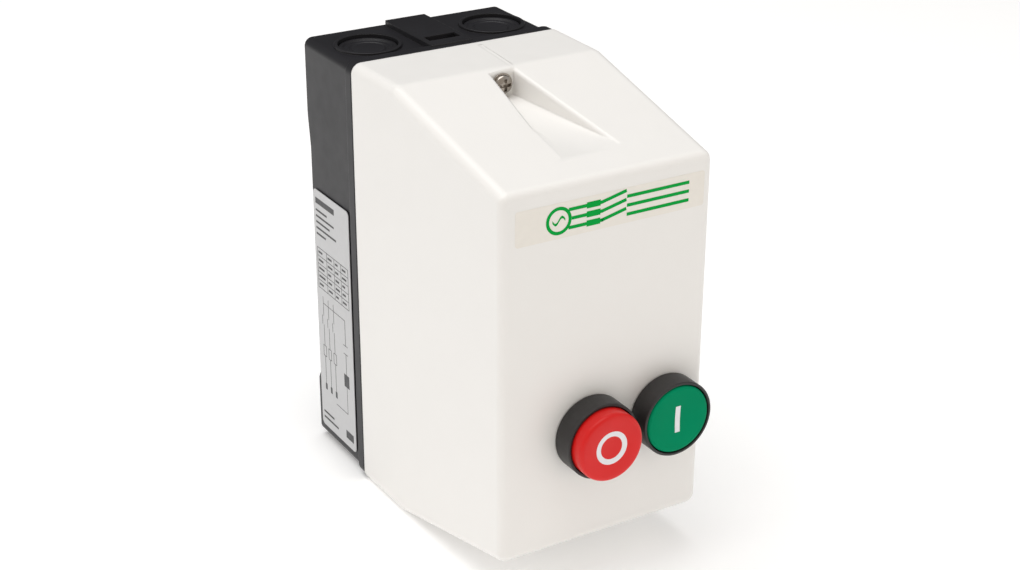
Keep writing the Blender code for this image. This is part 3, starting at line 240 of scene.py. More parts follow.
def block(x, depth, z):
    """A box between two x, two depths and two heights."""
    rings = []
    for d in depth:
        rings.append([at(x[0], d, z[0]), at(x[1], d, z[0]), at(x[1], d, z[1]), at(x[0], d, z[1])])
    return loft(rings)


def rounded_outline(x, z, radius, steps=10):
    """Points of a rectangle with round corners."""
    centres = (
        (x[1] - radius, z[1] - radius, 0.0),
        (x[0] + radius, z[1] - radius, 90.0),
        (x[0] + radius, z[0] + radius, 180.0),
        (x[1] - radius, z[0] + radius, 270.0),
    )
    points = []
    for cx, cz, start in centres:
        for k in range(steps + 1):
            turn = math.radians(start + 90.0 * k / steps)
            points.append((cx + radius * math.cos(turn), cz + radius * math.sin(turn)))
    return points


def rounded_block(x, depth, z, radius, steps=10):
    """A box whose four edges along the depth are round."""
    outline = rounded_outline(x, z, radius, steps)
    return loft([[at(px, d, pz) for px, pz in outline] for d in depth])


def prism_across(outline, x):
    """An outline in depth and height, extruded between two x."""
    return loft([[at(px, d, z) for d, z in outline] for px in x])


def prism_up(outline, z):
    """An outline in x and depth, extruded between two heights."""
    return loft([[at(x, d, pz) for x, d in outline] for pz in z])


def rounded_profile(corners, steps=4):
    """A turned profile from (radius, along, fillet) corners, each corner rounded by its fillet."""
    points = []
    for k, (radius, along, fillet) in enumerate(corners):
        here = Vector((radius, along))
        if fillet == 0:
            points.append(here)
            continue
        before = (Vector(corners[k - 1][:2]) - here).normalized()
        after = (Vector(corners[(k + 1) % len(corners)][:2]) - here).normalized()
        for step in range(steps + 1):
            t = step / steps
            blend = before * (1 - t) ** 2 + after * t**2
            points.append(here + fillet * blend)
    return [(point.x, point.y) for point in points]


def turned(profile, place, steps=ROUND):
    """A solid turned about an axis. A profile that starts off the axis is a ring."""
    bm = bmesh.new()
    loops = []
    for radius, along in profile:
        count = steps if radius > 1e-9 else 1
        ring = []
        for k in range(count):
            turn = 2 * math.pi * k / steps
            ring.append(bm.verts.new(place(radius * math.cos(turn), radius * math.sin(turn), along)))
        loops.append(ring)
    pairs = list(zip(loops, loops[1:]))
    if len(loops[0]) > 1:
        pairs.append((loops[-1], loops[0]))
    for first, second in pairs:
        for k in range(steps):
            corners = [
                first[k % len(first)],
                first[(k + 1) % len(first)],
                second[(k + 1) % len(second)],
                second[k % len(second)],
            ]
            bm.faces.new(list(dict.fromkeys(corners)))
    return to_object(bm)


def turned_forward(x, z, profile, steps=ROUND):
    """Turned about a line along the depth; the profile is (radius, depth)."""
    return turned(profile, lambda across, up, along: at(x + across, along, z + up), steps)


def turned_up(x, depth, profile, steps=ROUND):
    """Turned about an upright line; the profile is (radius, height)."""
    return turned(profile, lambda across, deep, along: at(x + across, depth + deep, along), steps)


def rod(x, z, radius, depth, steps=64):
    """A cylinder along the depth."""
    near, far = depth
    return turned_forward(x, z, [(0, near), (radius, near), (radius, far), (0, far)], steps)


def upright_rod(x, depth, radius, z, steps=64):
    """A cylinder along the height."""
    return turned_up(x, depth, [(0, z[0]), (radius, z[0]), (radius, z[1]), (0, z[1])], steps)


def bake(obj):
    """Replace an object's mesh by what its modifiers make of it."""
    bpy.context.view_layer.update()
    graph = bpy.context.evaluated_depsgraph_get()
    mesh = bpy.data.meshes.new_from_object(obj.evaluated_get(graph))
    obj.modifiers.clear()
    obj.data = mesh
    return obj


def combine(target, tool, operation):
    modifier = target.modifiers.new("shape", "BOOLEAN")
    modifier.object = tool
    modifier.operation = operation
    bake(target)
    bpy.data.objects.remove(tool, do_unlink=True)
    return target


def join(target, *tools):
    for tool in tools:
        combine(target, tool, "UNION")
    return target


def cut(target, *tools):
    for tool in tools:
        combine(target, tool, "DIFFERENCE")
    return target


def soften(obj, width, segments=2, angle=30):
    """Round every edge sharper than the angle, as a mould does."""
    bevel = obj.modifiers.new("round", "BEVEL")
    bevel.width = width
    bevel.segments = segments
    bevel.limit_method = "ANGLE"
    bevel.angle_limit = math.radians(angle)
    bevel.harden_normals = True
    return bake(obj)


def round_edges(obj, width, segments, wanted, angle=12):
    """Round the edges sharper than the angle whose middles are wanted."""
    bm = bmesh.new()
    bm.from_mesh(obj.data)
    bmesh.ops.remove_doubles(bm, verts=bm.verts, dist=0.001 * MM)
    bmesh.ops.dissolve_limit(bm, angle_limit=math.radians(0.2), verts=bm.verts, edges=bm.edges)
    least = math.radians(angle)
    chosen = []
    for edge in bm.edges:
        if not edge.is_manifold or edge.calc_face_angle() < least:
            continue
        if wanted((edge.verts[0].co + edge.verts[1].co) / 2):
            chosen.append(edge)
    bmesh.ops.bevel(
        bm,
        geom=chosen,
        offset=width,
        offset_type="OFFSET",
        segments=segments,
        profile=0.5,
        affect="EDGES",
        clamp_overlap=False,
    )
    bm.to_mesh(obj.data)
    bm.free()
    return obj


def anywhere(_point):
    return True


def settle_normals(obj):
    """Shade the rounded edges smoothly and leave the large faces flat."""
    obj.data.shade_smooth()
    obj.data.set_sharp_from_angle(angle=SMOOTH_ANGLE)
    weighted = obj.modifiers.new("normals", "WEIGHTED_NORMAL")
    weighted.keep_sharp = True
    weighted.weight = 80
    bake(obj)


def finish_piece(obj, name, body, slot, material, *nodes):
    """Name a piece, shade it, give it its material and hang it on its body in place of CAD nodes."""
    obj.name = name
    obj.data.name = name
    obj.data.materials.clear()
    obj.data.materials.append(material)
    settle_normals(obj)
    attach(obj, body)
    if nodes:
        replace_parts(obj, *nodes)
    return obj


# ---------------------------------------------------------------- materials


def mixed(tree, amount, first, second):
    """Colour between first and second, each a socket or a plain colour."""
    node = tree.nodes.new("ShaderNodeMix")
    node.data_type = "RGBA"
    tree.links.new(amount, node.inputs["Factor"])
    for value, socket in ((first, node.inputs[6]), (second, node.inputs[7])):
        if isinstance(value, tuple):
            socket.default_value = value
        else:
            tree.links.new(value, socket)
    return node.outputs[2]


class Surface:
    """A Principled material with procedural colour, roughness and relief."""

    def __init__(self, name, colour, roughness, metallic=0.0, specular=0.5):
        self.material = bpy.data.materials.new(name)
        self.material.use_nodes = True
        self.tree = self.material.node_tree
        self.shader = self.tree.nodes["Principled BSDF"]
        self.shader.inputs["Metallic"].default_value = metallic
        self.shader.inputs["Specular IOR Level"].default_value = specular
        self.colour = (*colour, 1.0)
        self.roughness = roughness
        self.place = self.tree.nodes.new("ShaderNodeTexCoord").outputs["Object"]
        self.normal = None
        self.paint = None
        self.set_colour(None)
        self.shader.inputs["Roughness"].default_value = roughness

    def link(self, source, target):
        self.tree.links.new(source, target)

    def set_colour(self, source):
        if source is None:
            self.shader.inputs["Base Color"].default_value = self.colour
            return
        self.link(source, self.shader.inputs["Base Color"])
        self.paint = source

    def noise(self, scale, detail=3.0, stretch=(1, 1, 1)):
        mapping = self.tree.nodes.new("ShaderNodeMapping")
        mapping.inputs["Scale"].default_value = stretch
        self.link(self.place, mapping.inputs["Vector"])
        texture = self.tree.nodes.new("ShaderNodeTexNoise")
        texture.inputs["Scale"].default_value = scale
        texture.inputs["Detail"].default_value = detail
        self.link(mapping.outputs["Vector"], texture.inputs["Vector"])
        return texture.outputs["Fac"]

    def bands(self, direction, pitch, profile="SIN"):
        """Regular ribs a pitch apart along X, Y or Z."""
        texture = self.tree.nodes.new("ShaderNodeTexWave")
        texture.bands_direction = direction
        texture.wave_profile = profile
        texture.inputs["Scale"].default_value = 2 * math.pi / (20 * pitch)
        texture.inputs["Distortion"].default_value = 0.0
        self.link(self.place, texture.inputs["Vector"])
        return texture.outputs["Fac"]

    def ranged(self, source, low, high, start=0.3, end=0.7):
        node = self.tree.nodes.new("ShaderNodeMapRange")
        node.inputs["From Min"].default_value = start
        node.inputs["From Max"].default_value = end
        node.inputs["To Min"].default_value = low
        node.inputs["To Max"].default_value = high
        self.link(source, node.inputs["Value"])
        return node.outputs["Result"]

    def tint(self, amount, factor):
        """Vary the paint between itself and a scaled copy of itself."""
        scaled = tuple(min(1.0, channel * factor) for channel in self.colour[:3]) + (1.0,)
        self.set_colour(mixed(self.tree, amount, self.paint or self.colour, scaled))
        return self

    def mottle(self, size, factor, detail=4.0):
        """Broad patches of slightly different shade."""
        return self.tint(self.ranged(self.noise(1 / size, detail), 0.0, 1.0), factor)

    def gloss(self, size, spread, detail=3.0, stretch=(1, 1, 1)):
        """Patches of different roughness."""
        patches = self.noise(1 / size, detail, stretch)
        low, high = self.roughness - spread, self.roughness + spread
        self.link(self.ranged(patches, low, high), self.shader.inputs["Roughness"])
        return self

    def relief(self, height, source, strength=1.0):
        """Raise the surface by a height where the source is 1."""
        bump = self.tree.nodes.new("ShaderNodeBump")
        bump.inputs["Distance"].default_value = height
        bump.inputs["Strength"].default_value = strength
        self.link(source, bump.inputs["Height"])
        if self.normal is not None:
            self.link(self.normal, bump.inputs["Normal"])
        self.normal = bump.outputs["Normal"]
        self.link(self.normal, self.shader.inputs["Normal"])
        return self

    def soft_edges(self, radius):
        """Shade edges as if they had this radius."""
        bevel = self.tree.nodes.new("ShaderNodeBevel")
        bevel.samples = 6
        bevel.inputs["Radius"].default_value = radius
        self.normal = bevel.outputs["Normal"]
        self.link(self.normal, self.shader.inputs["Normal"])
        return self

    def worn_edges(self, factor, start=0.52, end=0.60):
        """Another tone along raised edges."""
        pointiness = self.tree.nodes.new("ShaderNodeNewGeometry").outputs["Pointiness"]
        return self.tint(self.ranged(pointiness, 0.0, 1.0, start, end), factor)

    def coat(self, weight, roughness):
        self.shader.inputs["Coat Weight"].default_value = weight
        self.shader.inputs["Coat Roughness"].default_value = roughness
        return self

    def soft_light(self, weight, radius):
        """Light that enters and leaves the moulding, as in a pigmented white plastic."""
        self.shader.inputs["Subsurface Weight"].default_value = weight
        self.shader.inputs["Subsurface Scale"].default_value = radius
        return self


def moulded(name, colour, roughness, grain, height, shade=0.9, specular=0.5, edge=0.25 * MM):
    """Injection-moulded plastic: fine spark-eroded grain, faint flow marks, uneven gloss."""
    surface = Surface(name, colour, roughness, 0.0, specular)
    surface.soft_edges(edge)
    surface.mottle(18 * MM, shade)
    surface.gloss(7 * MM, roughness * 0.10)
    surface.relief(height, surface.noise(1 / grain, 2.0))
    return surface


def plated(name, colour, roughness, grain=0.25 * MM, stretch=(1, 1, 1)):
    """Plated or drawn metal with fine scratches along one direction and darker patches."""
    surface = Surface(name, colour, roughness, 1.0)
    surface.mottle(3 * MM, 0.72)
    surface.gloss(1.5 * MM, roughness * 0.3, 4.0, stretch)
    surface.relief(0.004 * MM, surface.noise(1 / grain, 3.0, stretch))
    return surface


def laminated(name, colour):
    """Stacked sheets of core steel, 0.5 mm each."""
    surface = Surface(name, colour, 0.42, 1.0)
    sheets = surface.bands("X", 0.5 * MM)
    surface.tint(surface.ranged(sheets, 1.0, 0.0, 0.0, 0.35), 0.45)
    surface.mottle(5 * MM, 0.7)
    surface.relief(0.03 * MM, sheets)
    return surface


def wound(name, colour):
    """Enamelled copper wire laid in close turns."""
    surface = Surface(name, colour, 0.34, 0.9)
    turns = surface.bands("Y", 0.42 * MM)
    surface.tint(surface.ranged(turns, 1.0, 0.0, 0.0, 0.4), 0.35)
    surface.mottle(4 * MM, 0.8)
    surface.relief(0.09 * MM, turns)
    surface.coat(0.6, 0.15)
    return surface


def printed(name, colour, roughness=0.35, specular=0.5):
    """Film or ink with a faint fibre in it."""
    surface = Surface(name, colour, roughness, 0.0, specular)
    surface.mottle(2.5 * MM, 0.975)
    surface.gloss(1.2 * MM, 0.05)
    surface.relief(0.003 * MM, surface.noise(1 / (0.12 * MM), 2.0))
    return surface


def make_surfaces():
    """All finishes by the record's slot, and the printed inks."""
    white_paint, black_paint = (0.865, 0.852, 0.828), (0.018, 0.0175, 0.0205)
    white = moulded("white_cover", white_paint, 0.34, 2.5 * MM, 0.004 * MM, 0.992, 0.5, 1.0 * MM)
    black = moulded("black_case", black_paint, 0.36, 0.7 * MM, 0.008 * MM, 0.75, 0.25, 0.4 * MM)
    black.worn_edges(0.75)
    red = moulded("red_cap", (0.71, 0.012, 0.011), 0.33, 1.5 * MM, 0.003 * MM, 0.93, 0.28)
    green = moulded("green_cap", (0.0, 0.255, 0.115), 0.34, 1.5 * MM, 0.003 * MM, 0.93, 0.03)
    bezel = moulded("bezel", (0.032, 0.030, 0.030), 0.46, 0.6 * MM, 0.008 * MM, 0.8, 0.34)
    grey = moulded("grey_moulding", (0.40, 0.41, 0.41), 0.48, 0.25 * MM, 0.010 * MM, 0.92)
    dark = moulded("dark_moulding", (0.055, 0.058, 0.062), 0.50, 0.25 * MM, 0.012 * MM, 0.8)
    dark.worn_edges(1.6)
    nylon = moulded("nylon", (0.72, 0.69, 0.60), 0.42, 0.5 * MM, 0.004 * MM, 0.95)
    nylon.soft_light(0.3, 1.5 * MM)
    rubber = moulded("rubber", (0.018, 0.018, 0.018), 0.75, 0.12 * MM, 0.02 * MM, 0.7, 0.3)
    steel = plated("steel", (0.46, 0.415, 0.37), 0.20)
    brass = plated("brass", (0.74, 0.55, 0.24), 0.20, 0.2 * MM, (1, 1, 0.15))
    film = printed("label_film", (0.56, 0.565, 0.575), 0.38)
    clear = printed("clear_film", (0.846, 0.812, 0.750), 0.36)
    return {
        "white_cover": white.material,
        "black_case": black.material,
        "red_cap": red.material,
        "green_cap": green.material,
        "bezel": bezel.material,
        "grey_moulding": grey.material,
        "dark_moulding": dark.material,
        "nylon": nylon.material,
        "rubber": rubber.material,
        "steel": steel.material,
        "brass": brass.material,
        "copper": plated("copper", (0.76, 0.36, 0.20), 0.20, 0.2 * MM, (1, 1, 0.15)).material,
        "winding": wound("winding", (0.62, 0.20, 0.07)).material,
        "core_steel": laminated("core_steel", (0.34, 0.33, 0.32)).material,
        "label_film": film.material,
        "clear_film": clear.material,
        "white_ink": printed("white_ink", (0.80, 0.80, 0.83), 0.4).material,
        "green_ink": printed("green_ink", (0.0, 0.36, 0.05), 0.4, 0.06).material,
        "black_ink": printed("black_ink", (0.035, 0.035, 0.038), 0.45).material,
    }


# ---------------------------------------------------------------- rear box


def make_case(paint):
    """The black moulding that hangs on the wall."""
    half = COVER_WIDTH / 2
    flange_back = BASE_DEPTH - FLANGE_THICK
    seam = BASE_DEPTH - FLANGE_THICK / 2
    case = rounded_block((-BASE_HALF, BASE_HALF), (0, seam), (BASE_LOW, BASE_HIGH), BASE_EDGE_RADIUS)
    round_edges(case, 0.8 * MM, 4, anywhere, 40)
    flange = rounded_block((-half, half), (flange_back, BASE_DEPTH), (0, COVER_HEIGHT), FLANGE_RADIUS)
    join(case, round_edges(flange, 0.5 * MM, 4, anywhere, 40))
    bridge_x = (BRIDGE_X - BRIDGE_WIDTH / 2, BRIDGE_X + BRIDGE_WIDTH / 2)
    top = (BASE_HIGH - WALL / 2, BASE_HIGH + BRIDGE_TOP_RISE)
    bottom = (BASE_LOW - BRIDGE_BOTTOM_RISE, BASE_LOW + WALL / 2)
    for z in (top, bottom):
        bridge = block(bridge_x, (BRIDGE_START, seam), z)
        join(case, round_edges(bridge, 0.35 * MM, 3, anywhere, 40))
    for side in (-1, 1):
        for face, inner in ((BASE_HIGH + COLLAR_RISE, -WALL / 2), (BASE_LOW - COLLAR_RISE, WALL / 2)):
            wall = BASE_HIGH + inner if inner < 0 else BASE_LOW + inner
            profile = [
                (0, wall, 0),
                (COLLAR_RADIUS, wall, 0),
                (COLLAR_RADIUS, face, 0.3 * MM),
                (0, face, 0),
            ]
            join(case, turned_up(side * ENTRY_X, ENTRY_DEPTH, rounded_profile(profile)))
    inside = (PAD_RECESS + REAR_WALL, BASE_DEPTH + WALL)
    inner = BASE_HALF - WALL
    cut(case, rounded_block((-inner, inner), inside, (INNER_LOW, INNER_HIGH), 1.5 * MM))
    low, low_ramp, high_ramp, high = PAD_PROFILE
    recess = [
        (-WALL, low),
        (0, low),
        (PAD_RECESS, low_ramp),
        (PAD_RECESS, high_ramp),
        (0, high),
        (-WALL, high),
    ]
    cut(case, prism_across(recess, (-COVER_WIDTH, COVER_WIDTH)))
    post = SLOT_WIDTH / 2 + 1.8 * MM
    post_z = (SCREW_Z - NUT_SIDE / 2 - 2.4 * MM, INNER_HIGH + WALL / 2)
    post_depth = (SLOT_DEPTH - 2.5 * MM, BASE_DEPTH - 2.6 * MM)
    join(case, block((BRIDGE_X - post, BRIDGE_X + post), post_depth, post_z))
    cut(case, rod(BRIDGE_X, SCREW_Z, SCREW_RADIUS + 0.6 * MM, (6 * MM, BASE_DEPTH + 1 * MM)))
    slot_x = (BRIDGE_X - SLOT_WIDTH / 2, BRIDGE_X + SLOT_WIDTH / 2)
    slot_depth = (SLOT_DEPTH, SLOT_DEPTH + SLOT_LENGTH)
    cut(case, block(slot_x, slot_depth, (SCREW_Z - NUT_SIDE / 2 - GAP, COVER_HEIGHT + 5 * MM)))
    cut(case, block(slot_x, slot_depth, (-5 * MM, INNER_LOW + 1 * MM)))
    for side in (-1, 1):
        cut(case, upright_rod(side * ENTRY_X, ENTRY_DEPTH, ENTRY_RADIUS, (-WALL, COVER_HEIGHT + WALL)))
    finish_piece(case, "case", "enclosure", "black_case", paint["black_case"], "rear_box")


def make_knockout(name, paint):
    """A disc that closes a cable entry: thin web, thick rim and a ring groove."""
    low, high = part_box(name)
    x = (low.x + high.x) / 2
    depth = BACK - (low.y + high.y) / 2
    radius = (high.x - low.x) / 2
    outward = 1 if "top" in name else -1
    face = high.z if outward > 0 else low.z
    inner = low.z if outward > 0 else high.z
    corners = [
        (0, inner, 0),
        (radius, inner, 0.15 * MM),
        (radius, face, 0.25 * MM),
        (radius - 1.3 * MM, face, 0.2 * MM),
        (radius - 1.6 * MM, face - outward * 0.55 * MM, 0.2 * MM),
        (radius - 3.4 * MM, face - outward * 0.55 * MM, 0.15 * MM),
        (radius - 3.6 * MM, face - outward * 0.85 * MM, 0.12 * MM),
        (radius - 4.1 * MM, face - outward * 0.85 * MM, 0.12 * MM),
        (radius - 4.3 * MM, face - outward * 0.55 * MM, 0.15 * MM),
        (0, face - outward * 0.55 * MM, 0),
    ]
    disc = turned_up(x, depth, rounded_profile(corners, 3))
    finish_piece(disc, f"disc_{name}", "enclosure", "black_case", paint["black_case"], name)


# ---------------------------------------------------------------- cover


def cover_shape(inset, back, steps):
    """The cover's closed outline, drawn in by a wall thickness, with rounded edges."""
    front = BODY_DEPTH - inset
    slant = inset / math.cos(math.atan(TOP_SLOPE))
    bend = SLOPE_START - inset * math.tan(math.atan(TOP_SLOPE) / 2)
    bm = bmesh.new()
    weight = bm.edges.layers.float.new("bevel_weight_edge")
    loops = []
    for depth in (back, bend, front):
        taper = (depth - COVER_BACK) / (BODY_DEPTH - COVER_BACK)
        half = (COVER_WIDTH + (COVER_FRONT_WIDTH - COVER_WIDTH) * taper) / 2 - inset
        forward = max(0.0, depth - SLOPE_START)
        high = COVER_HEIGHT - (inset if depth < front else slant + forward * TOP_SLOPE)
        low = inset if depth < front else slant + forward * BOTTOM_SLOPE
        corners = ((-half, low), (half, low), (half, high), (-half, high))
        loops.append([bm.verts.new(at(x, depth, z)) for x, z in corners])
    for first, second in zip(loops, loops[1:]):
        for k in range(4):
            following = (k + 1) % 4
            bm.faces.new([first[k], first[following], second[following], second[k]])
            bm.edges.get((first[k], second[k]))[weight] = 1.0
    bm.faces.new(loops[0])
    bm.faces.new(loops[-1])
    radius = max(LONG_EDGE_RADIUS - inset, 0.8 * MM)
    for k in range(4):
        edge = bm.edges.get((loops[-1][k], loops[-1][(k + 1) % 4]))
        edge[weight] = max(FRONT_EDGE_RADIUS - inset, 0.8 * MM) / radius
    for k in (0, 2):
        bm.edges.get((loops[1][k], loops[1][k + 1]))[weight] = 0.3
    shell = to_object(bm)
    bevel = shell.modifiers.new("round", "BEVEL")
    bevel.width = radius
    bevel.segments = steps
    bevel.limit_method = "WEIGHT"
    return bake(shell)


def recess_tool(skin):
    """The wedge over the cover screw; a skin makes it larger for the wall beneath."""
    back = SCREW_SEAT - skin
    half = RECESS_BACK_HALF + skin
    floor = COVER_HEIGHT - RECESS_FLOOR_DROP - skin
    ledge = COVER_HEIGHT - RECESS_LEDGE_DROP - skin
    lift = COVER_HEIGHT + 10 * MM
    left = RECESS_FRONT_X[0] - skin
    right = RECESS_FRONT_X[1] + skin
    front = RECESS_FRONT + skin
    fold_depth = RECESS_FOLD[1]
    side_x = BRIDGE_X - half + (left - BRIDGE_X + half) * (fold_depth - back) / (front - back)
    bm = bmesh.new()

    def corner(x, depth, z):
        return bm.verts.new(at(x, depth, z))

    back_left = corner(BRIDGE_X - half, back, floor)
    back_right = corner(BRIDGE_X + half, back, floor)
    front_left = corner(left, front, ledge)
    front_right = corner(right, front, ledge)
    fold = corner(RECESS_FOLD[0] - skin, fold_depth, ledge)
    high_back_left = corner(BRIDGE_X - half - 0.4 * MM, back, lift)
    high_back_right = corner(BRIDGE_X + half + 0.4 * MM, back, lift)
    high_front_left = corner(left, front, lift)
    high_front_right = corner(right, front, lift)
    high_fold = corner(side_x, fold_depth, lift)
    middle_fold = corner(side_x, fold_depth, COVER_HEIGHT - RECESS_LEDGE_DROP + 4 * MM)
    faces = (
        (back_left, back_right, fold),
        (back_right, front_right, fold),
        (fold, front_right, front_left),
        (back_right, high_back_right, high_front_right, front_right),
        (front_left, front_right, high_front_right, high_front_left),
        (back_left, high_back_left, high_back_right, back_right),
        (back_left, fold, middle_fold),
        (back_left, middle_fold, high_fold, high_back_left),
        (fold, front_left, middle_fold),
        (front_left, high_front_left, high_fold, middle_fold),
        (high_back_left, high_fold, high_front_left, high_front_right, high_back_right),
    )
    for face in faces:
        bm.faces.new(face)
    bmesh.ops.triangulate(bm, faces=bm.faces)
    return to_object(bm)


def on_rim(point):
    """Whether a point lies on the recess's edge in the sloping top, but for its left side."""
    depth = BACK - point.y
    beside = -2 * MM < point.x < RECESS_FRONT_X[1] + 1 * MM
    surface = COVER_HEIGHT - (depth - SLOPE_START) * TOP_SLOPE
    along = SCREW_SEAT - 1 * MM < depth < RECESS_FRONT + 0.8 * MM
    return beside and along and abs(point.z - surface) < 0.05 * MM


def make_cover(paint):
    """The white moulding: shell, screw recess, screw boss, lip, hook and button holes."""
    cover = cover_shape(0.0, COVER_BACK, 12)
    cut(cover, recess_tool(0.0))
    round_edges(cover, RIM_RADIUS, 6, on_rim)
    groove = [
        (BRIDGE_X + 8.3 * MM, 42.6 * MM),
        (BRIDGE_X + 6.8 * MM, 42.6 * MM),
        (BRIDGE_X + 4.4 * MM, SCREW_SEAT - 1.2 * MM),
        (BRIDGE_X + 5.9 * MM, SCREW_SEAT - 1.2 * MM),
    ]
    cut(cover, prism_up(groove, (COVER_HEIGHT - GROOVE_DEPTH, COVER_HEIGHT + 1 * MM)))
    hollow = cover_shape(WALL, COVER_BACK - 5 * MM, 4)
    cut(hollow, recess_tool(2.0 * MM))
    cut(cover, hollow)
    add_lip(cover)
    hole = (SCREW_SEAT - 8 * MM, SCREW_SEAT + 3 * MM)
    join(cover, rod(BRIDGE_X, SCREW_Z, SCREW_HOLE + 1.4 * MM, (hole[0], SCREW_SEAT - 1 * MM)))
    cut(cover, rod(BRIDGE_X, SCREW_Z, SCREW_HOLE, (hole[0] - 1 * MM, hole[1])))
    for x in (STOP_X, START_X):
        cut(cover, rod(x, BUTTON_Z, NECK_RADIUS + GAP, (BODY_DEPTH - 2 * WALL, BODY_DEPTH + WALL)))
    finish_piece(cover, "cover", "cover", "white_cover", paint["white_cover"], "front_cover")


def add_lip(cover):
    """A frame that fits inside the rear box, and a hook that drops into the lower slot."""
    slack = 0.4 * MM
    thick = 1.6 * MM
    x = BASE_HALF - WALL - slack
    low = INNER_LOW + slack
    high = INNER_HIGH - slack
    root = (COVER_BACK + 0.01 * MM, COVER_BACK + LEDGE)
    half = COVER_WIDTH / 2 - WALL + 0.4 * MM
    ring = rounded_block((-half, half), root, (WALL - 0.4 * MM, COVER_HEIGHT - WALL + 0.4 * MM), 1 * MM)
    depth = (BASE_DEPTH - 2.2 * MM, root[1] - 0.5 * MM)
    join(ring, rounded_block((-x, x), depth, (low, high), 1.5 * MM))
    through = (BASE_DEPTH - 4 * MM, root[1] + 1 * MM)
    cut(ring, rounded_block((-x + thick, x - thick), through, (low + thick, high - thick), 1 * MM))
    notch = SCREW_RADIUS + 2.2 * MM
    cut(ring, block((BRIDGE_X - notch, BRIDGE_X + notch), through, (SCREW_Z - notch, INNER_HIGH)))
    cut(ring, rod(BRIDGE_X, SCREW_Z, SCREW_RADIUS + 0.6 * MM, through))
    join(cover, ring)
    hook_half = SLOT_WIDTH / 2 - 1.0 * MM
    hook_x = (BRIDGE_X - hook_half, BRIDGE_X + hook_half)
    toe = (SLOT_DEPTH + 1 * MM, SLOT_DEPTH + SLOT_LENGTH - 0.8 * MM)
    tongue = block(hook_x, (toe[0], root[1]), (low, low + thick))
    join(cover, join(tongue, block(hook_x, toe, (BASE_LOW + 0.4 * MM, low + thick / 2))))


def make_cover_screw(paint):
    """A pan-head screw with a cross recess and a plain washer."""
    low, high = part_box("cover_screw")
    tip = BACK - high.y
    face = BACK - low.y
    radius = (high.x - low.x) / 2
    seat = SCREW_SEAT + GAP
    washer = seat + 0.5 * MM
    corners = [
        (0, tip, 0),
        (SCREW_RADIUS - 0.6 * MM, tip, 0.1 * MM),
        (SCREW_RADIUS, tip + 1.0 * MM, 0.2 * MM),
        (SCREW_RADIUS, seat, 0.02 * MM),
        (radius, seat, 0.1 * MM),
        (radius, washer, 0.1 * MM),
        (radius - 0.45 * MM, washer, 0.05 * MM),
        (radius - 0.45 * MM, face - 1.0 * MM, 0.6 * MM),
        (radius * 0.45, face, 0.6 * MM),
        (0, face, 0),
    ]
    screw = turned_forward(BRIDGE_X, SCREW_Z, rounded_profile(corners, 5))
    cut_cross(screw, BRIDGE_X, SCREW_Z, face)
    soften(screw, 0.08 * MM, 2, 40)
    finish_piece(screw, "screw_of_cover", "cover_screw", "steel", paint["steel"], "cover_screw")


def cut_cross(screw, x, z, face):
    """A cross recess in a screw's head."""
    for wide, tall in ((CROSS_REACH, CROSS_HALF), (CROSS_HALF, CROSS_REACH)):
        arm = block((x - wide, x + wide), (face - 1.3 * MM, face + 1 * MM), (z - tall, z + tall))
        cut(screw, arm)


# ---------------------------------------------------------------- buttons


def make_bezel(prefix, x, paint):
    """A black button body: collar in front of the cover, hollow neck behind it."""
    low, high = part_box(f"{prefix}_bezel")
    front = BACK - low.y
    neck_back = BACK - high.y
    collar = (high.x - low.x) / 2
    seat = BODY_DEPTH + GAP
    floor = seat + 0.7 * MM
    bore = collar - BEZEL_WALL
    shelf = neck_back + 2.5 * MM
    corners = [
        (bore, front, 0.15 * MM),
        (collar, front, 0.5 * MM),
        (collar, seat, 0.35 * MM),
        (NECK_RADIUS, seat, 0.05 * MM),
        (NECK_RADIUS, neck_back, 0.3 * MM),
        (STEM_HOLE, neck_back, 0.1 * MM),
        (STEM_HOLE, shelf, 0.1 * MM),
        (CHAMBER_RADIUS, shelf, 0.2 * MM),
        (CHAMBER_RADIUS, floor, 0.2 * MM),
        (bore, floor, 0.2 * MM),
    ]
    body = turned_forward(x, BUTTON_Z, rounded_profile(corners, 5), 128)
    finish_piece(body, f"{prefix}_collar", "cover", "bezel", paint["bezel"], f"{prefix}_bezel")


def dish(radius, rim, depth):
    """How far a dished cap's face lies behind its rim."""
    share = min(1.0, radius / rim)
    return depth * (1 - share * share) ** 2


def make_cap(prefix, x, slot, rim, depth, paint):
    """A push cap: dished face, rounded shoulder, socket for its stem."""
    low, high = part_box(f"{prefix}_cap")
    face = BACK - low.y
    back = BACK - high.y
    radius = (high.x - low.x) / 2
    profile = [(0, face - depth)]
    for k in range(1, 15):
        r = rim * k / 14
        profile.append((r, face - dish(r, rim, depth)))
    shoulder = [
        (radius, face, radius - rim - 0.1 * MM),
        (radius, back, 0.3 * MM),
        (STEM_HOLE, back, 0.1 * MM),
        (STEM_HOLE, back + 2.2 * MM, 0.1 * MM),
        (0, back + 2.2 * MM, 0),
    ]
    profile += rounded_profile([(rim, face, 0), *shoulder], 8)[1:]
    cap = turned_forward(x, BUTTON_Z, profile, 128)
    finish_piece(cap, f"{prefix}_push", f"{prefix}_button", slot, paint[slot], f"{prefix}_cap")
    return face


def make_ring_mark(x, face, rim, depth, paint):
    """The stop sign, a ring that follows the dish."""
    inner, outer = 4.05 * MM, 5.85 * MM
    front = []
    for k in range(7):
        r = inner + (outer - inner) * k / 6
        front.append((r, face - dish(r, rim, depth) + SIGN_PROUD))
    under = [(outer, front[-1][1] - SIGN_THICK), (inner, front[0][1] - SIGN_THICK)]
    ring = turned_forward(x, BUTTON_Z, front + under, 128)
    finish_piece(ring, "stop_sign", "stop_button", "white_ink", paint["white_ink"])


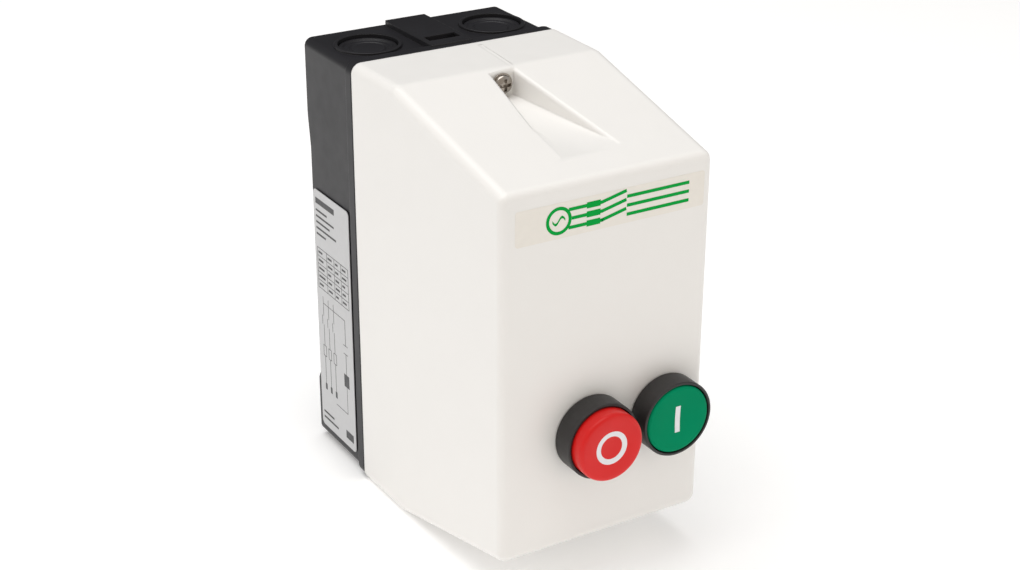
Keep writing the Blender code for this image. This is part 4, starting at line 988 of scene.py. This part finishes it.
def make_bar_mark(x, face, rim, depth, paint):
    """The start sign, an upright bar that follows the face."""
    half_width, half_height = 0.97 * MM, 4.8 * MM
    rings = []
    for k in range(13):
        z = -half_height + 2 * half_height * k / 12
        front = face - dish(abs(z), rim, depth) + SIGN_PROUD
        rings.append(
            [
                at(x - half_width, front, BUTTON_Z + z),
                at(x + half_width, front, BUTTON_Z + z),
                at(x + half_width, front - SIGN_THICK, BUTTON_Z + z),
                at(x - half_width, front - SIGN_THICK, BUTTON_Z + z),
            ]
        )
    finish_piece(loft(rings), "start_sign", "start_button", "white_ink", paint["white_ink"])


def make_buttons(paint):
    make_bezel("stop", STOP_X, paint)
    make_bezel("start", START_X, paint)
    face = make_cap("stop", STOP_X, "red_cap", *STOP_DISH, paint)
    make_ring_mark(STOP_X, face, *STOP_DISH, paint)
    face = make_cap("start", START_X, "green_cap", *START_DISH, paint)
    make_bar_mark(START_X, face, *START_DISH, paint)


# ---------------------------------------------------------------- labels and prints


def sheet_strips(rectangles, place, thick):
    """One mesh of thin raised strips; each is (u low, u high, v low, v high).

    Neighbours differ a little in height, so that no two faces coincide where they cross.
    """
    bm = bmesh.new()
    for index, (u0, u1, v0, v1) in enumerate(rectangles):
        lift = thick * (1 + STRIP_STEP * (index % STRIP_HEIGHTS))
        corners = [(u0, v0), (u1, v0), (u1, v1), (u0, v1)]
        lower = [bm.verts.new(place(u, v, 0.0)) for u, v in corners]
        upper = [bm.verts.new(place(u, v, lift)) for u, v in corners]
        bm.faces.new(lower)
        bm.faces.new(upper)
        for k in range(4):
            following = (k + 1) % 4
            bm.faces.new([lower[k], lower[following], upper[following], upper[k]])
    return to_object(bm)


def stroke(points, width):
    """Rectangles that follow straight strokes between points, each upright or level."""
    found = []
    for (u0, v0), (u1, v1) in zip(points, points[1:]):
        found.append(
            (
                min(u0, u1) - width / 2,
                max(u0, u1) + width / 2,
                min(v0, v1) - width / 2,
                max(v0, v1) + width / 2,
            )
        )
    return found


def make_front_label(paint):
    """A clear film with a printed sign: a motor fed by three switched lines."""
    low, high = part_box("front_label")
    depth = (BODY_DEPTH + 0.01 * MM, BODY_DEPTH + 0.07 * MM)
    film = rounded_block((low.x, high.x), depth, (low.z, high.z), 1.0 * MM)
    finish_piece(film, "sign_film", "cover", "clear_film", paint["clear_film"], "front_label")
    centre_z = (low.z + high.z) / 2
    face = depth[1]

    def on_film(u, v, height):
        return at(u, face + 0.01 * MM + height, centre_z + v)

    inner, outer = RING
    ring_profile = [(inner, 0), (outer, 0), (outer, INK), (inner, INK)]
    ring = turned(ring_profile, lambda a, b, along: on_film(RING_X + a, b, along), 64)
    finish_piece(ring, "sign_motor", "cover", "green_ink", paint["green_ink"])
    strips = []
    for line in (-1, 0, 1):
        v = line * LINE_PITCH
        start = RING_X + math.sqrt(outer**2 - v * v) + 0.6 * MM
        strips += stroke([(start, v), (-3.0 * MM, v)], LINE_WIDTH)
        strips.append((-8.4 * MM, -3.4 * MM, v - 1.0 * MM, v + 1.0 * MM))
        strips += stroke([(7.0 * MM, v), (29.5 * MM, v)], LINE_WIDTH)
    lines = sheet_strips(strips, on_film, INK)
    finish_piece(lines, "sign_lines", "cover", "green_ink", paint["green_ink"])
    for line in (-1, 0, 1):
        v = line * LINE_PITCH
        ends = (Vector((-2.8 * MM, v)), Vector((6.2 * MM, v + 2.0 * MM)))
        along = (ends[1] - ends[0]).normalized()
        across = Vector((-along.y, along.x)) * LINE_WIDTH / 2
        outline = (ends[0] - across, ends[1] - across, ends[1] + across, ends[0] + across)
        arm = loft([[on_film(*point, height) for point in outline] for height in (0.0, INK)])
        finish_piece(arm, f"sign_switch_{line + 2}", "cover", "green_ink", paint["green_ink"])
    lower, upper = [], []
    for k in range(25):
        t = -1 + k / 12
        u = RING_X + t * 2.3 * MM
        v = 1.1 * MM * math.sin(math.pi * t)
        lower.append((u, v - 0.42 * MM))
        upper.append((u, v + 0.42 * MM))
    outline = lower + upper[::-1]
    wave = loft([[on_film(*point, height) for point in outline] for height in (0.0, INK)])
    finish_piece(wave, "sign_wave", "cover", "green_ink", paint["green_ink"])


def make_rating_label(paint):
    """A silver plate on the left side with ruled tables and a circuit drawing."""
    low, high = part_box("rating_label")
    depth = (BACK - high.y, BACK - low.y)
    outline = rounded_outline(depth, (low.z, high.z), 2.0 * MM)
    plate = prism_across(outline, (low.x, high.x))
    soften(plate, 0.06 * MM, 2)
    finish_piece(plate, "rating_plate", "enclosure", "label_film", paint["label_film"], "rating_label")
    width = depth[1] - depth[0]

    def on_plate(u, v, height):
        return at(low.x - 0.01 * MM - height, depth[0] + u, low.z + v)

    top = high.z - low.z
    edge = 1.8 * MM
    right = width - edge
    hair = 0.22 * MM
    strips = [(edge, edge + 15 * MM, top - 5.2 * MM, top - 3.0 * MM)]
    for k, length in enumerate((9.0, 14.5, 11.0, 16.0, 7.5)):
        v = top - (8.2 + 2.3 * k) * MM
        strips.append((edge, edge + length * MM, v, v + 0.75 * MM))
    box_low, box_high = top - 38.5 * MM, top - 22.5 * MM
    columns = (edge, edge + 7.5 * MM, edge + 13.5 * MM, edge + 19.0 * MM, right)
    for u in columns:
        strips += stroke([(u, box_low), (u, box_high)], hair)
    for k in range(6):
        v = box_low + (box_high - box_low) * k / 5
        strips += stroke([(edge, v), (right, v)], hair)
        if k < 5:
            for c, (u0, u1) in enumerate(zip(columns, columns[1:])):
                share = 0.55 + 0.3 * ((k * 3 + c * 2) % 4) / 3
                end = u0 + 0.8 * MM + (u1 - u0 - 1.6 * MM) * share
                strips.append((u0 + 0.8 * MM, end, v + 1.2 * MM, v + 2.0 * MM))
    strips += circuit_strokes(edge, right, 12.0 * MM, box_low - 3.0 * MM, hair)
    for k, length in enumerate((12.0, 8.5)):
        strips.append((edge, edge + length * MM, (3.2 + 2.4 * k) * MM, (4.0 + 2.4 * k) * MM))
    strips.append((right - 6.0 * MM, right, 3.2 * MM, 6.4 * MM))
    ink = sheet_strips(strips, on_plate, 0.03 * MM)
    finish_piece(ink, "rating_print", "enclosure", "black_ink", paint["black_ink"])


def circuit_strokes(left, right, low, high, hair):
    """Three mains lines through contacts and heaters to a terminal row, with a control branch."""
    strips = []

    def down(share):
        return high - share * (high - low)

    def draw(*points):
        strips.extend(stroke(points, hair))

    for k in range(3):
        u = left + (3.0 + 4.2 * k) * MM
        beside, after = u - 1.1 * MM, u + 1.1 * MM
        draw((u, down(0.0)), (u, down(0.18)))
        draw((u, down(0.27)), (u, down(0.47)))
        draw((beside, down(0.185)), (beside, down(0.265)))
        end, start = down(0.57), down(0.47)
        draw((beside, end), (after, end), (after, start), (beside, start), (beside, end))
        draw((u, end), (u, down(0.84)))
        strips.append((u - 0.7 * MM, u + 0.7 * MM, down(0.90), down(0.84)))
    branch = right - 4.0 * MM
    draw((left + 3.0 * MM, down(0.06)), (branch, down(0.06)))
    draw((branch, down(0.06)), (branch, down(0.30)))
    for share in (0.30, 0.38):
        draw((branch - 1.6 * MM, down(share)), (branch + 1.6 * MM, down(share)))
    draw((branch, down(0.38)), (branch, down(0.96)))
    draw((branch, down(0.96)), (left + 11.4 * MM, down(0.96)))
    strips.append((branch - 2.0 * MM, branch + 2.0 * MM, down(0.70), down(0.58)))
    return strips


# ---------------------------------------------------------------- apparatus inside


def make_spring(node, body, paint):
    """A round-wire coil of even pitch in place of the node's spring."""
    low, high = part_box(node)
    wire = 0.35 * MM
    turns = 5
    radius = (high.x - low.x) / 2 - wire
    centre = ((low.x + high.x) / 2, (low.z + high.z) / 2)
    ends = (low.y + wire, high.y - wire)
    around, across = 40, 12
    rings = []
    for k in range(turns * around + 1):
        turn = 2 * math.pi * k / around
        along = ends[0] + (ends[1] - ends[0]) * k / (turns * around)
        outward = Vector((math.cos(turn), 0.0, math.sin(turn)))
        middle = Vector((centre[0], along, centre[1])) + radius * outward
        ring = []
        for j in range(across):
            angle = 2 * math.pi * j / across
            aside = math.cos(angle) * outward + math.sin(angle) * Vector((0, 1, 0))
            ring.append(middle + wire * aside)
        rings.append(ring)
    coil = finish_piece(loft(rings), f"coil_{node}", body, "steel", paint["steel"], node)
    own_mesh(coil)


def make_kept_node(name, obj, body, slot, material):
    """A kept node's own shape with its moulded or pressed edges rounded."""
    mesh = obj.data.copy()
    bm = bmesh.new()
    bm.from_mesh(mesh)
    bm.transform(obj.matrix_world)
    bmesh.ops.remove_doubles(bm, verts=bm.verts, dist=0.002 * MM)
    bmesh.ops.dissolve_limit(
        bm, angle_limit=math.radians(1), verts=bm.verts, edges=bm.edges, delimit={"NORMAL"}
    )
    piece = to_object(bm)
    soften(piece, 0.18 * MM, 2, 40)
    finish_piece(piece, f"look_{name}", body, slot, material, name)


def make_apparatus(paint):
    """Everything under the cover, and the small parts behind the buttons."""
    make_spring("return_spring_left", "armature", paint)
    make_spring("return_spring_right", "armature", paint)
    make_spring("stop_spring", "stop_button", paint)
    make_spring("start_spring", "start_button", paint)
    slots = {entry["node"]: entry["material_slot"] for entry in SUBPARTS}
    slots["coil_winding"] = "winding"
    shown = {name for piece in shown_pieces() for name in piece.get("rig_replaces", [])}
    for name, obj in frame["nodes"].items():
        obj.data.materials.clear()
        obj.data.materials.append(paint[slots[name]])
        if name not in shown:
            make_kept_node(name, obj, obj["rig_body"], slots[name], paint[slots[name]])


# ---------------------------------------------------------------- stage, light, camera


def add_area(name, place, size, power, colour):
    """A soft rectangular lamp aimed at the middle of the object."""
    light = bpy.data.lights.new(name, "AREA")
    light.shape = "RECTANGLE"
    light.size, light.size_y = size
    light.energy = power
    light.color = colour
    obj = bpy.data.objects.new(name, light)
    obj.location = place
    aim = Vector(LAMP_TARGET) - Vector(place)
    obj.rotation_euler = aim.to_track_quat("-Z", "Y").to_euler()
    bpy.context.scene.collection.objects.link(obj)


def facing(tree, direction, aim, cosines, values):
    """A value that follows how far a direction faces an aim."""
    towards = tree.nodes.new("ShaderNodeVectorMath")
    towards.operation = "DOT_PRODUCT"
    towards.inputs[1].default_value = aim
    tree.links.new(direction, towards.inputs[0])
    fade = tree.nodes.new("ShaderNodeMapRange")
    fade.interpolation_type = "SMOOTHSTEP"
    for side, cosine, value in zip(("Min", "Max"), cosines, values):
        fade.inputs[f"From {side}"].default_value = cosine
        fade.inputs[f"To {side}"].default_value = value
    tree.links.new(towards.outputs["Value"], fade.inputs["Value"])
    return fade.outputs["Result"]


def make_world():
    """Light from all round, weaker from behind and warmer from the front, before a pale backdrop."""
    world = bpy.data.worlds.new("studio")
    bpy.context.scene.world = world
    world.use_nodes = True
    tree = world.node_tree
    light = tree.nodes["Background"]
    light.inputs["Strength"].default_value = WORLD_STRENGTH
    direction = tree.nodes.new("ShaderNodeTexCoord").outputs["Generated"]
    level = facing(tree, direction, BEHIND, (0.1, 0.8), (1.0, 0.10))
    warmth = facing(tree, direction, AHEAD, (0.0, 0.9), (0.0, 1.0))
    shade = tree.nodes.new("ShaderNodeVectorMath")
    shade.operation = "SCALE"
    tree.links.new(mixed(tree, warmth, WHITE, FRONT_TONE), shade.inputs[0])
    tree.links.new(level, shade.inputs["Scale"])
    seen = tree.nodes.new("ShaderNodeLightPath").outputs["Is Camera Ray"]
    tree.links.new(mixed(tree, seen, shade.outputs["Vector"], BACKDROP), light.inputs["Color"])


def make_stage():
    """A pale floor, light from all round and three soft lamps."""
    bm = bmesh.new()
    bmesh.ops.create_grid(bm, x_segments=24, y_segments=24, size=FLOOR_SIDE / 2)
    floor = to_object(bm)
    floor.name = "floor"
    surface = Surface("floor_paper", WHITE[:3], 0.9, 0.0, 0.1)
    surface.mottle(400 * MM, 0.99)
    surface.relief(0.02 * MM, surface.noise(1 / (1.5 * MM), 2.0))
    surface.shader.inputs["Emission Color"].default_value = WHITE
    surface.shader.inputs["Emission Strength"].default_value = FLOOR_GLOW
    floor.data.materials.append(surface.material)
    make_world()
    for lamp in LAMPS:
        add_area(*lamp)


def make_camera():
    """The picture's point of view."""
    azimuth, elevation, roll = (math.radians(a) for a in CAMERA_DEGREES)
    back = Vector(
        (
            math.sin(azimuth) * math.cos(elevation),
            -math.cos(azimuth) * math.cos(elevation),
            math.sin(elevation),
        )
    )
    right = (-back).cross(Vector((0, 0, 1))).normalized()
    up = right.cross(-back)
    across = math.cos(roll) * right + math.sin(roll) * up
    upward = -math.sin(roll) * right + math.cos(roll) * up
    camera = bpy.data.cameras.new("camera")
    camera.sensor_width = SENSOR_WIDTH
    camera.lens = LENS
    camera.clip_start = 0.01
    obj = bpy.data.objects.new("camera", camera)
    turn = Matrix((across, upward, back)).transposed().to_4x4()
    obj.matrix_world = Matrix.Translation(Vector(CAMERA_PLACE)) @ turn
    bpy.context.scene.collection.objects.link(obj)
    bpy.context.scene.camera = obj


def main():
    paint = make_surfaces()
    make_case(paint)
    for end in ("top", "bottom"):
        for side in ("left", "right"):
            make_knockout(f"knockout_{end}_{side}", paint)
    make_cover(paint)
    make_cover_screw(paint)
    make_buttons(paint)
    make_front_label(paint)
    make_rating_label(paint)
    make_apparatus(paint)
    make_stage()
    make_camera()
    bpy.context.scene.view_settings.view_transform = "Standard"


main()
